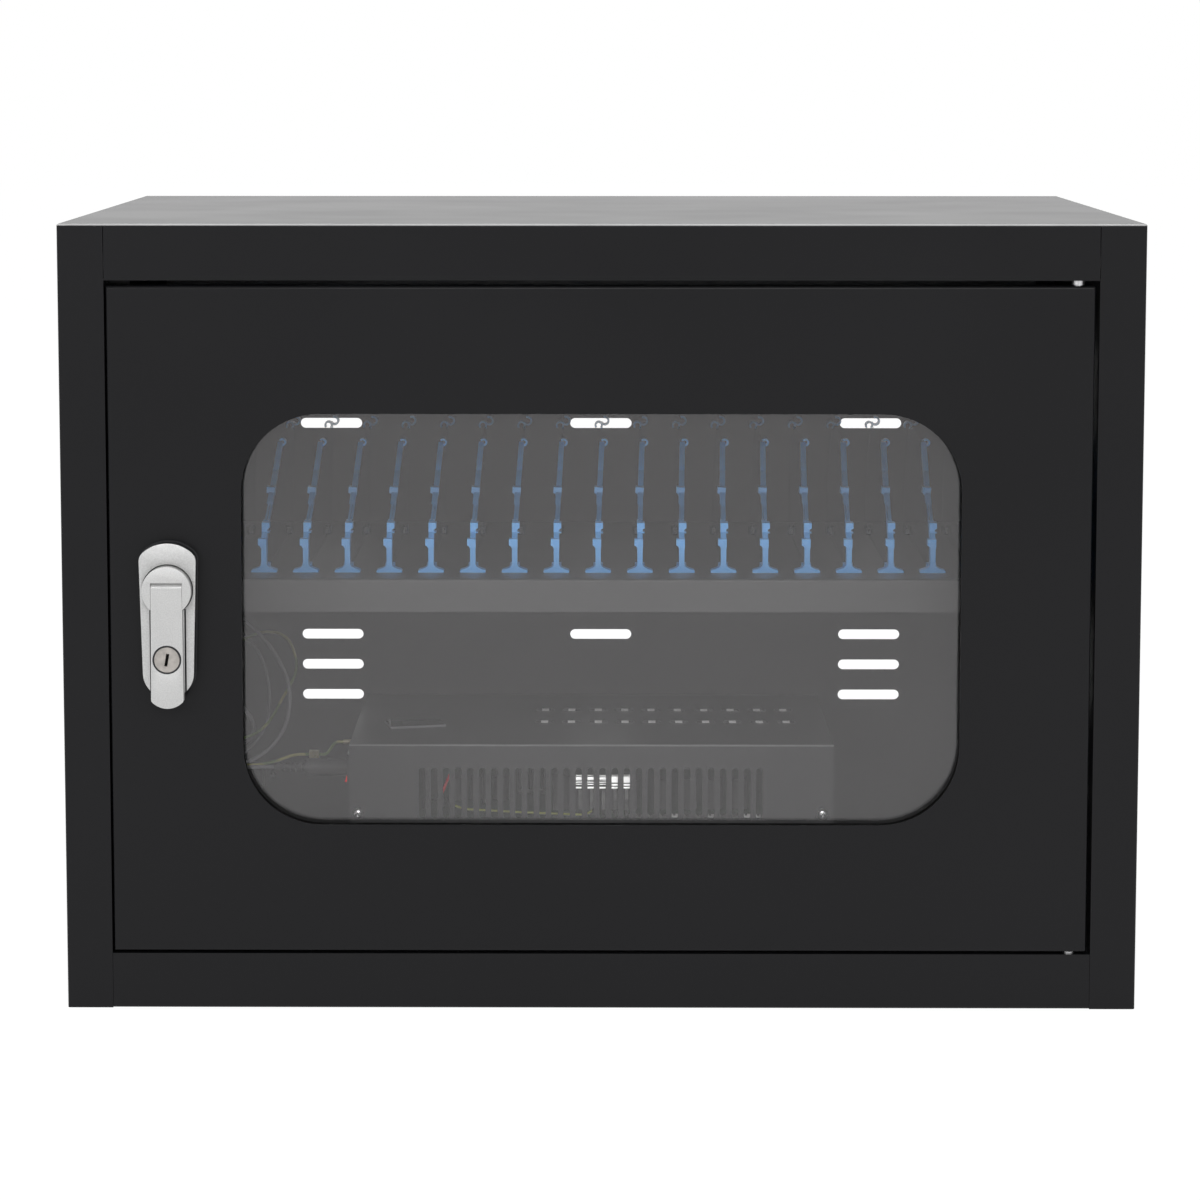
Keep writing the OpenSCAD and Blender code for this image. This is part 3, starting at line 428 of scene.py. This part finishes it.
def turned_metal(name, colour, centre, face):
    """Face of the key cylinder: faint rings left by the lathe, and painted shade in the keyway."""
    f = Finish(name, colour, 0.34, 0.85)
    node = f.nodes.new("ShaderNodeMapping")
    node.inputs["Location"].default_value = tuple(-c for c in centre)
    f.link(f.coords["Object"], node.inputs["Vector"])
    flat = f.nodes.new("ShaderNodeVectorMath")
    flat.operation = "MULTIPLY"
    flat.inputs[1].default_value = (1.0, 0.0, 1.0)
    f.link(node.outputs["Vector"], flat.inputs[0])
    rings = f.nodes.new("ShaderNodeTexWave")
    rings.wave_type = "RINGS"
    rings.rings_direction = "SPHERICAL"
    rings.inputs["Scale"].default_value = 520.0
    rings.inputs["Distortion"].default_value = 0.4
    f.link(flat.outputs["Vector"], rings.inputs["Vector"])
    # painted shade: the keyway's walls, behind the face, are painted nearly black
    keyway = f.every((f.parts("Object")[1], "GREATER_THAN", face + KEYWAY_DEPTH))
    f.colour(f.mixed(keyway, f.mottled(colour, 300.0, 0.85, 1.12, 3.0), shade(colour, 0.02)))
    f.roughness(f.range(rings.outputs["Fac"], 0.28, 0.42, 0.0, 1.0))
    f.bump(rings.outputs["Fac"], 0.12, 0.00005)
    return f.material


def rubber(name, colour, specular=0.4):
    f = Finish(name, colour, 0.7)
    f.set("Specular IOR Level", specular)
    f.uneven_gloss(160.0, 0.6, 0.8)
    f.grain(1300.0, 0.2, 0.00008, 2.0)
    return f.material


def moulded_plastic(name, colour, roughness):
    f = Finish(name, colour, roughness)
    f.colour(f.mottled(colour, 40.0, 0.92, 1.08))
    f.uneven_gloss(120.0, roughness * 0.85, roughness * 1.2)
    f.grain(1500.0, 0.12, 0.00006, 1.5)
    return f.material


def lit_rocker(name, colour):
    """Red rocker with its lamp on."""
    f = Finish(name, colour, 0.2)
    f.set("Emission Color", (1.0, 0.03, 0.02, 1.0))
    f.set("Emission Strength", 0.3)
    f.set("Coat Weight", 0.6)
    f.colour(f.mottled(colour, 80.0, 0.9, 1.1, 1.0))
    return f.material


def circuit_board(name, colour):
    """Solder mask with faint tracks and pads."""
    f = Finish(name, colour, 0.35)
    brick = f.nodes.new("ShaderNodeTexBrick")
    for socket, factor in (("Color1", 1.0), ("Color2", 1.25), ("Mortar", 1.9)):
        brick.inputs[socket].default_value = (*shade(colour, factor), 1.0)
    brick.inputs["Scale"].default_value = 60.0
    brick.inputs["Mortar Size"].default_value = 0.05
    f.link(f.coords["Object"], brick.inputs["Vector"])
    f.colour(brick.outputs["Color"])
    return f.material


def board_parts(name, colour, pale, front, board):
    """The board's parts: bright header pins and a speckled pale terminal strip, the rest dark."""
    f = Finish(name, colour, 0.4)
    _, y, z = f.parts("Object")
    strip_top = board + STRIP_HEIGHT
    head = f.every((y, "LESS_THAN", front), (z, "GREATER_THAN", HEADER_FOOT))
    strip = f.every((y, "LESS_THAN", front - STRIP_DEPTH), (z, "GREATER_THAN", board),
                    (z, "LESS_THAN", strip_top))
    legs = f.every((y, "LESS_THAN", front), (z, "GREATER_THAN", strip_top))
    tone = f.mixed(legs, f.mottled(colour, 90.0, 0.8, 1.1),
                   f.mottled(pale, 70.0, 0.12, 0.3, 1.0, (0.4, 0.6)))
    along = f.math("MODULO", z, PIN_PITCH)
    between = f.every((along, "GREATER_THAN", PIN_SHARE * PIN_PITCH),
                      (z, "LESS_THAN", HEADER_FOOT + PIN_LENGTH))
    pins = f.mixed(between, f.mottled(pale, 140.0, 0.93, 1.04), shade(pale, 0.05))
    speckled = f.mottled(pale, 45.0, 0.08, 0.9, 1.0, (0.54, 0.64))
    f.colour(f.mixed(strip, f.mixed(head, tone, pins), speckled))
    f.link(f.math("MULTIPLY", head, 0.9), f.shader.inputs["Metallic"])
    slope = f.math("MULTIPLY", f.math("MULTIPLY", along, -FACET), head)
    rough = f.math("MULTIPLY", f.noise(900.0, 1.0), 0.000005)
    f.bump(f.math("ADD", slope, rough), 1.0, 1.0)
    return f.material


def box_wires(name, sleeve, *stretches):
    """Insulation of the wires in the power box: coloured stretches, the rest in a dark sleeve.

    A stretch is its colour, the shades it wanders between, and its place.
    """
    f = Finish(name, sleeve, 0.35)
    x, y, z = f.parts("Object")
    tone = f.mottled(sleeve, 180.0, 0.9, 1.1)
    for colour, low, high, (left, right, back, bottom, top) in stretches:
        here = f.every((x, "GREATER_THAN", left), (x, "LESS_THAN", right), (y, "LESS_THAN", back),
                       (z, "GREATER_THAN", bottom), (z, "LESS_THAN", top))
        tone = f.mixed(here, tone, f.mottled(colour, 180.0, low, high))
    f.colour(tone)
    f.grain(900.0, 0.05, 0.00005)
    return f.material


def socket_part(name, dark, pale, first, pitch, metallic=0.0):
    """Tongue or shell of a charging socket: dark, with a pale middle that is partly white plastic
    and partly a painted highlight.
    """
    f = Finish(name, dark, 0.4, metallic)
    off_middle = f.away_in_row(f.parts("Object")[0], first, pitch)
    # the pale middle: partly the tongue's white plastic, partly a painted highlight
    pale_and_highlight = f.every((off_middle, "LESS_THAN", PALE_AND_HIGHLIGHT_HALF))
    f.colour(f.mixed(pale_and_highlight, f.mottled(dark, 200.0, 0.85, 1.15),
                     f.mottled(pale, 200.0, 0.93, 1.04)))
    f.grain(1500.0, 0.08, 0.00005, 1.5)
    return f.material


def two_colour_wire(name, green, yellow):
    """Earth wire: yellow and green bands along its length."""
    f = Finish(name, yellow, 0.38)
    f.colour(f.ramp(f.noise(55.0, 0.0), (0.44, yellow), (0.5, green)))
    f.grain(900.0, 0.05, 0.00005)
    return f.material


def acrylic(name, haze):
    """Clear acrylic sheet: most of the light goes through, and a small share is mirrored."""
    f = Finish(name, (0.96, 0.945, 0.955), 0.06, 0.85)
    f.set("Alpha", haze)
    f.uneven_gloss(3.0, 0.03, 0.08)
    f.grain(2.2, 0.02, 0.0004)
    return f.material


def dress(nodes, material):
    """Gives CAD nodes their material."""
    for name in [nodes] if isinstance(nodes, str) else nodes:
        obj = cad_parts[name]
        obj.data.materials.clear()
        obj.data.materials.append(material)


def finished(bm, name, material, body, smooth=True):
    """Makes a piece of a bmesh, and has it ride a body."""
    mesh = bpy.data.meshes.new(name)
    bmesh.ops.recalc_face_normals(bm, faces=bm.faces)
    bm.to_mesh(mesh)
    bm.free()
    for polygon in mesh.polygons:
        polygon.use_smooth = smooth
    obj = bpy.data.objects.new(name, mesh)
    bpy.context.scene.collection.objects.link(obj)
    obj.data.materials.append(material)
    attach(obj, body)
    return obj


def bevelled(bm, edges, width, segments, clamped=False):
    bmesh.ops.bevel(bm, geom=edges, offset=width, offset_type="OFFSET", segments=segments,
                    profile=0.5, affect="EDGES", clamp_overlap=clamped, material=-1)


def softened(node, name, width, material, body):
    """A copy of a CAD node whose sharp edges are rounded, in place of the node."""
    bm = bmesh.new()
    bm.from_mesh(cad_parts[node].data)
    bmesh.ops.remove_doubles(bm, verts=bm.verts, dist=2e-6)
    bmesh.ops.dissolve_limit(bm, angle_limit=math.radians(1.0), verts=bm.verts, edges=bm.edges)
    sharp = [e for e in bm.edges
             if len(e.link_faces) == 2 and e.calc_face_angle(0.0) > math.radians(35.0)]
    bevelled(bm, sharp, width, 2, clamped=True)
    obj = finished(bm, name, material, body)
    obj.data.set_sharp_from_angle(angle=math.radians(40.0))
    return obj


def label_plate(name, corner, turn, size, face, rim, body):
    """A thin plate with round corners and a tab bent up at its end, from its front left corner."""
    thickness = size[2]
    bm = bmesh.new()
    bmesh.ops.create_cube(bm, size=1.0)
    bmesh.ops.scale(bm, vec=size, verts=bm.verts)
    upright = [e for e in bm.edges
               if abs((e.verts[0].co - e.verts[1].co).normalized().z) > 0.9]
    bevelled(bm, upright, LABEL_ROUND, 4)
    bmesh.ops.translate(bm, vec=Vector(size) / 2, verts=bm.verts)
    end = bmesh.ops.create_cube(bm, size=1.0)["verts"]
    bmesh.ops.scale(bm, vec=LABEL_TAB, verts=end)
    tab_middle = Vector(LABEL_TAB) / 2 + Vector((0.0, LABEL_ROUND + TAB_START, thickness))
    bmesh.ops.translate(bm, vec=tab_middle, verts=end)
    sharp = [e for e in bm.edges if e.calc_face_angle(0.0) > 1.0]
    bevelled(bm, sharp, LABEL_EDGE, 1)
    askew = Matrix.Rotation(turn, 3, "Z")
    bmesh.ops.rotate(bm, cent=(0.0, 0.0, 0.0), matrix=askew, verts=bm.verts)
    bmesh.ops.translate(bm, vec=corner, verts=bm.verts)
    bmesh.ops.recalc_face_normals(bm, faces=bm.faces)
    # the plate's top takes the first material, its sides and the tab the second, whose lighter grey
    # is a painted highlight on the edges
    for side in bm.faces:
        low = side.calc_center_median().z < corner[2] + thickness * 1.2
        side.material_index = 0 if side.normal.z > 0.9 and low else 1
    obj = finished(bm, name, face, body, smooth=False)
    obj.data.materials.append(rim)
    return obj


def bent_line(corners, share=0.48, widest=0.080, half_step=2.5):
    """The line of a wire along its corners, each bent as gently as its two straights allow.

    share is how much of a straight a bend may take, widest its largest radius in metres, and
    half_step the degrees of half a bend that one step covers.
    """
    corners = [Vector(c) * MILLIMETRE for c in corners]
    line = [corners[0]]
    for before, here, after in zip(corners, corners[1:], corners[2:]):
        a, b = (here - before).normalized(), (after - here).normalized()
        half = a.angle(b) / 2
        shorter = min(share * (here - before).length, share * (after - here).length)
        back = min(shorter, widest * math.tan(half))
        side = a.cross(a.cross(b).normalized())
        radius = back / math.tan(half)
        centre = here - a * back - side * radius
        steps = max(3, math.ceil(math.degrees(half) / half_step))
        for i in range(steps + 1):
            turn = 2 * half * i / steps
            line.append(centre + (side * math.cos(turn) + a * math.sin(turn)) * radius)
    line.append(corners[-1])
    return line


def lead(name, corners, radius, material, body="cabinet"):
    """A round wire as a curve of one spline; returns the piece and its length."""
    line = bent_line(corners)
    curve = bpy.data.curves.new(name, "CURVE")
    curve.dimensions = "3D"
    curve.bevel_depth = radius
    curve.bevel_resolution = 3
    curve.use_fill_caps = True
    spline = curve.splines.new("POLY")
    spline.points.add(len(line) - 1)
    for point, place in zip(spline.points, line):
        point.co = (*place, 1.0)
    piece = bpy.data.objects.new(name, curve)
    bpy.context.scene.collection.objects.link(piece)
    curve.materials.append(material)
    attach(piece, body)
    return piece, sum((b - a).length for a, b in zip(line, line[1:]))


class CabinetOperator(bpy.types.Operator):
    bl_options = {"REGISTER"}

    @property
    def finish_settings(self):
        return bpy.context.scene.cabinet_finish

    @property
    def shape_settings(self):
        return bpy.context.scene.cabinet_shape


class CABINET_OT_coat(CabinetOperator):
    """Coats the folded steel: shell, door, pane frame, floor, back, shelf and brackets"""
    bl_idname = "cabinet.coat"
    bl_label = "Coat the steel"

    def execute(self, context):
        s = self.finish_settings
        coat, peel = tuple(s.coat), s.orange_peel
        lo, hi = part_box("shell")
        dress("shell", powder_coat("shell coat", coat, peel, fold=(lo[1], hi[2], *SHELL_FOLD_HIGHLIGHT)))
        dress(["door_panel", "pane_frame"], powder_coat("powder coat", coat, peel))
        # the bottom rail and the outside of the back keep the coat's own colour; behind them the
        # same coat is painted lighter as painted light
        inside = (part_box("floor_panel")[0][1] + INSIDE_START,
                  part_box("back_panel")[1][1] - INSIDE_END, tuple(s.panel_coat_and_painted_light))
        dress(["floor_panel", "back_panel"],
              powder_coat("panel coat and painted light", coat, peel, ripple=0.03, inside=inside))
        dress(["shelf", "shelf_bracket_left", "shelf_bracket_right"],
              powder_coat("inside coat", tuple(s.shelf_coat), peel, specular=0.3, gloss=0.42,
                          coat=0.2, ripple=0.03))
        return {"FINISHED"}


class CABINET_OT_glaze(CabinetOperator):
    """Finishes the clear pane and its rubber seal"""
    bl_idname = "cabinet.glaze"
    bl_label = "Glaze the door"

    def execute(self, context):
        dress("door_pane", acrylic("acrylic sheet", self.finish_settings.haze))
        dress("pane_seal", rubber("seal rubber", (0.0015, 0.0015, 0.0015), 0.08))
        return {"FINISHED"}


class CABINET_OT_lock(CabinetOperator):
    """Makes the swing-handle lock with rounded casting edges, and finishes the rubber parts"""
    bl_idname = "cabinet.lock"
    bl_label = "Lock"

    def execute(self, context):
        s, edge = self.finish_settings, self.shape_settings.casting_edge
        colour = tuple(s.casting)
        lo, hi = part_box("lock_base")
        key_lo, key_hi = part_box("lock_key")
        key = (Vector(key_lo) + Vector(key_hi)) / 2
        bore = (key.x, key.z, (key_hi[0] - key_lo[0]) / 2 + KEY_CLEARANCE)
        middle = (lo[0] + hi[0]) / 2
        for node, body, finish in (
                ("lock_base", "door",
                 lacquered_casting("escutcheon lacquer", colour, middle, lo[1])),
                ("lock_rotor", "rotor", lacquered_casting("silver lacquer", colour)),
                ("lock_handle", "handle",
                 lacquered_casting("handle lacquer", colour, bore=bore))):
            piece = softened(node, node + "_cast", edge, finish, body)
            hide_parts(node)
        dress("lock_key", turned_metal("turned cylinder", tuple(s.cylinder), key, key_lo[1]))
        dress(["lock_seal", "catch_buffers"], rubber("gasket rubber", (0.02, 0.02, 0.022)))
        return {"FINISHED"}


class CABINET_OT_dividers(CabinetOperator):
    """Gives the bay dividers their tinted moulding"""
    bl_idname = "cabinet.dividers"
    bl_label = "Dividers"

    def execute(self, context):
        lo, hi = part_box("divider_01")
        first = (lo[0] + hi[0]) / 2
        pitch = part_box("divider_02")[0][0] - lo[0]
        shelf_top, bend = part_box("shelf")[1][2], lo[2] + BEND_HEIGHT
        colour = tuple(self.finish_settings.divider)
        dress(DIVIDERS, moulded_divider("divider moulding", colour, pitch, first, shelf_top, bend,
                                        lo[1] + CLIP_DEPTH))
        return {"FINISHED"}


class CABINET_OT_power_box(CabinetOperator):
    """Finishes the power box, its sockets, its board and its switch, and lays the blank label"""
    bl_idname = "cabinet.power_box"
    bl_label = "Power box"

    def execute(self, context):
        s, shape = self.finish_settings, self.shape_settings
        lo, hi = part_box("hub_cover")
        dress(["hub_cover", "hub_chassis"],
              powder_coat("power box coat", tuple(s.box_coat), s.orange_peel, specular=0.25,
                          gloss=0.45, coat=0.15, ripple=0.03, fold=(lo[1], hi[2], *BOX_FOLD_HIGHLIGHT)))
        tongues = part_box("usb_tongues")
        first, last = tongues[0][0] + TONGUE_HALF, tongues[1][0] - TONGUE_HALF
        pitch = (last - first) / (SOCKETS - 1)
        dark = (0.03, 0.03, 0.032)
        dress("usb_tongues", socket_part("socket tongue", dark, (0.62, 0.62, 0.61), first, pitch))
        dress("usb_shells", socket_part("socket shell", dark, (0.62, 0.62, 0.62), first, pitch,
                                        metallic=0.2))
        dress("hub_board", circuit_board("solder mask", (0.012, 0.032, 0.012)))
        board_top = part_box("hub_board")[1][2] - BOARD_SKIN
        dress("hub_parts", board_parts("component plastic", (0.05, 0.05, 0.05), (0.95, 0.95, 0.94),
                                       lo[1] + PARTS_DEPTH, board_top))
        dress("hub_wire", box_wires("box insulation", (0.02, 0.02, 0.02),
                                    ((0.40, 0.43, 0.10), 0.9, 1.08, LIME_STRETCH),
                                    ((0.80, 0.03, 0.04), 0.88, 1.08, RED_STRETCH)))
        dress(["switch_housing", "power_inlet"], moulded_plastic("black moulding", dark, 0.4))
        dress("lead_plug", moulded_plastic("plug moulding", (0.065, 0.065, 0.067), 0.5))
        dress("switch_rocker", lit_rocker("lit rocker", (0.75, 0.02, 0.02)))
        label = label_plate("label_blank", (*LABEL_CORNER, hi[2]), shape.label_turn,
                            (shape.label_width, shape.label_depth, LABEL_THICKNESS),
                            moulded_plastic("label face", (0.012, 0.012, 0.013), 0.22),
                            # the rim's lighter grey is a painted highlight along the label's edges
                            moulded_plastic("label rim highlight", (0.16, 0.16, 0.17), 0.4), "cabinet")
        return {"FINISHED"}


class CABINET_OT_wiring(CabinetOperator):
    """Lays the inner leads along their routes"""
    bl_idname = "cabinet.wiring"
    bl_label = "Wiring"

    def execute(self, context):
        grey = moulded_plastic("grey insulation", (0.17, 0.17, 0.18), 0.35)
        earth = two_colour_wire("earth insulation", (0.11, 0.17, 0.045), (0.30, 0.28, 0.09))
        for name, corners, radius, material, node, slot in (
                ("mains_lead", MAINS_LEAD, MAINS_RADIUS, grey, "power_lead", "wire_grey"),
                ("earth_lead", EARTH_LONG, EARTH_RADIUS, earth, "earth_wire", "wire_earth"),
                ("bond_lead", BOND, BOND_RADIUS, grey, "bond_wire", "wire_grey")):
            piece, length = lead(name, corners, radius, material)
            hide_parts(node)
        link, _ = lead("earth_link", EARTH_SHORT, EARTH_RADIUS, earth)
        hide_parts("earth_wire")
        return {"FINISHED"}


class CABINET_OT_fasteners(CabinetOperator):
    """Plates the pins, screws, nuts, studs, cam and clamp"""
    bl_idname = "cabinet.fasteners"
    bl_label = "Fasteners"

    def execute(self, context):
        zinc = plated("zinc plate", (0.62, 0.62, 0.63))
        lo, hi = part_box("hub_screws")
        radius = (hi[2] - lo[2]) / 2
        middle, half = (lo[0] + hi[0]) / 2, (hi[0] - lo[0]) / 2 - radius
        dress("hub_screws", cross_head_screw("bright zinc", (0.95, 0.95, 0.95), middle, half,
                                             (lo[2] + hi[2]) / 2, radius))
        dress(["hinge_pins", "shelf_screws", "divider_screws", "pane_nuts", "lock_clamp",
               "lock_cam", "inlet_pins"], zinc)
        dress("earth_studs", plated("brass", (0.42, 0.37, 0.24), 0.4))
        return {"FINISHED"}


def area_light(name, place, target, size, power):
    light = bpy.data.lights.new(name, "AREA")
    light.shape = "RECTANGLE"
    light.size, light.size_y = size
    light.energy = power
    obj = bpy.data.objects.new(name, light)
    bpy.context.scene.collection.objects.link(obj)
    obj.location = place
    obj.rotation_mode = "QUATERNION"
    obj.rotation_quaternion = (Vector(target) - Vector(place)).to_track_quat("-Z", "Y")


class CABINET_OT_stage(CabinetOperator):
    """Sets the camera, the pale floor, the world and the lamps"""
    bl_idname = "cabinet.stage"
    bl_label = "Stage"

    def execute(self, context):
        scene = context.scene
        scene.view_settings.view_transform = "Standard"
        self.set_camera(scene)
        self.set_world(scene)
        self.lay_floor(scene)
        middle = (0.0, 0.0, 0.25)
        area_light("key", (-1.5, -2.5, 1.25), middle, (1.4, 1.2), 20.0)
        area_light("front", (0.15, -2.9, 1.45), middle, (1.3, 0.7), 22.0)
        area_light("fill", (1.6, -2.4, 1.1), middle, (1.4, 1.2), 10.0)
        area_light("over", (0.0, 0.3, 2.6), middle, (2.4, 1.6), 36.0)
        return {"FINISHED"}

    def set_camera(self, scene):
        cam = bpy.data.cameras.new("camera")
        camera = bpy.data.objects.new("camera", cam)
        scene.collection.objects.link(camera)
        scene.camera = camera
        camera.location = CAMERA_PLACE
        camera.rotation_mode = "QUATERNION"
        level = math.cos(CAMERA_PITCH)
        look = Vector((math.sin(CAMERA_YAW) * level, math.cos(CAMERA_YAW) * level,
                       -math.sin(CAMERA_PITCH)))
        camera.rotation_quaternion = look.to_track_quat("-Z", "Y")
        cam.sensor_width = SENSOR_WIDTH
        cam.lens = FOCAL_LENGTH / PHOTO_WIDTH * SENSOR_WIDTH
        cam.shift_x, cam.shift_y = CAMERA_SHIFT
        cam.clip_start, cam.clip_end = 0.05, 100.0

    def set_world(self, scene):
        world = bpy.data.worlds.new("studio")
        scene.world = world
        world.use_nodes = True
        w = Nodes(world.node_tree)
        back = w.nodes["Background"]
        back.inputs["Color"].default_value = (1.0, 1.0, 1.0, 1.0)
        path = w.nodes.new("ShaderNodeLightPath").outputs
        mirrored = w.math("MAXIMUM", path["Is Glossy Ray"], path["Is Transmission Ray"])
        seen = w.math("MAXIMUM", path["Is Camera Ray"], mirrored)
        # reflections meet the white backdrop behind the cabinet and a dimmer room in front of it
        room = w.range(w.parts("Generated")["Y"], DIM_ROOM, BACKDROP, *ROOM_TURN)
        shown = w.math("MAXIMUM", room, path["Is Camera Ray"])
        w.link(w.mixed(seen, ROOM_LEVEL, shown, data="FLOAT"), back.inputs["Strength"])

    def lay_floor(self, scene):
        bm = bmesh.new()
        bmesh.ops.create_circle(bm, cap_ends=True, segments=96, radius=FLOOR_RADIUS)
        mesh = bpy.data.meshes.new("floor")
        bm.to_mesh(mesh)
        bm.free()
        floor = bpy.data.objects.new("floor", mesh)
        scene.collection.objects.link(floor)
        f = Finish("studio floor", (0.88, 0.88, 0.88), 0.7)
        f.colour(f.ramp(f.noise(1.3), (0.3, (0.87, 0.87, 0.87)), (0.7, (0.89, 0.89, 0.89))))
        glow = f.nodes.new("ShaderNodeEmission")
        glow.inputs["Color"].default_value = (1.0, 1.0, 1.0, 1.0)
        glow.inputs["Strength"].default_value = FLOOR_GLOW
        path = f.nodes.new("ShaderNodeLightPath").outputs
        mirrored = f.math("MAXIMUM", path["Is Glossy Ray"], path["Is Transmission Ray"])
        seen = f.math("MAXIMUM", path["Is Camera Ray"], mirrored)
        mix = f.nodes.new("ShaderNodeMixShader")
        f.link(f.math("MULTIPLY", seen, FLOOR_SHARE), mix.inputs["Fac"])
        f.link(f.shader.outputs["BSDF"], mix.inputs[1])
        f.link(glow.outputs["Emission"], mix.inputs[2])
        f.link(mix.outputs["Shader"], f.nodes["Material Output"].inputs["Surface"])
        floor.data.materials.append(f.material)


PIECE_OPERATORS = (CABINET_OT_coat, CABINET_OT_glaze, CABINET_OT_lock, CABINET_OT_dividers,
                   CABINET_OT_power_box, CABINET_OT_wiring, CABINET_OT_fasteners,
                   CABINET_OT_stage)


class CABINET_PT_panel(bpy.types.Panel):
    """Lists the cabinet's pieces, sizes and colours"""
    bl_label = "Charging cabinet"
    bl_idname = "CABINET_PT_panel"
    bl_space_type = "VIEW_3D"
    bl_region_type = "UI"
    bl_category = "Cabinet"

    def draw(self, context):
        layout = self.layout
        for group in (context.scene.cabinet_finish, context.scene.cabinet_shape):
            box = layout.box()
            for name in group.__annotations__:
                box.prop(group, name)
        column = layout.column(align=True)
        for operator in PIECE_OPERATORS:
            column.operator(operator.bl_idname)


CLASSES = (FinishSettings, ShapeSettings, *PIECE_OPERATORS, CABINET_PT_panel)


def register():
    for cls in CLASSES:
        bpy.utils.register_class(cls)
    bpy.types.Scene.cabinet_finish = bpy.props.PointerProperty(type=FinishSettings)
    bpy.types.Scene.cabinet_shape = bpy.props.PointerProperty(type=ShapeSettings)


def unregister():
    del bpy.types.Scene.cabinet_shape
    del bpy.types.Scene.cabinet_finish
    for cls in reversed(CLASSES):
        bpy.utils.unregister_class(cls)


def main():
    register()
    for name in ("stage", "coat", "glaze", "lock", "dividers", "power_box", "wiring", "fasteners"):
        if getattr(bpy.ops.cabinet, name)() != {"FINISHED"}:
            raise RuntimeError("the operator cabinet." + name + " did not finish")


if __name__ == "__main__":
    main()
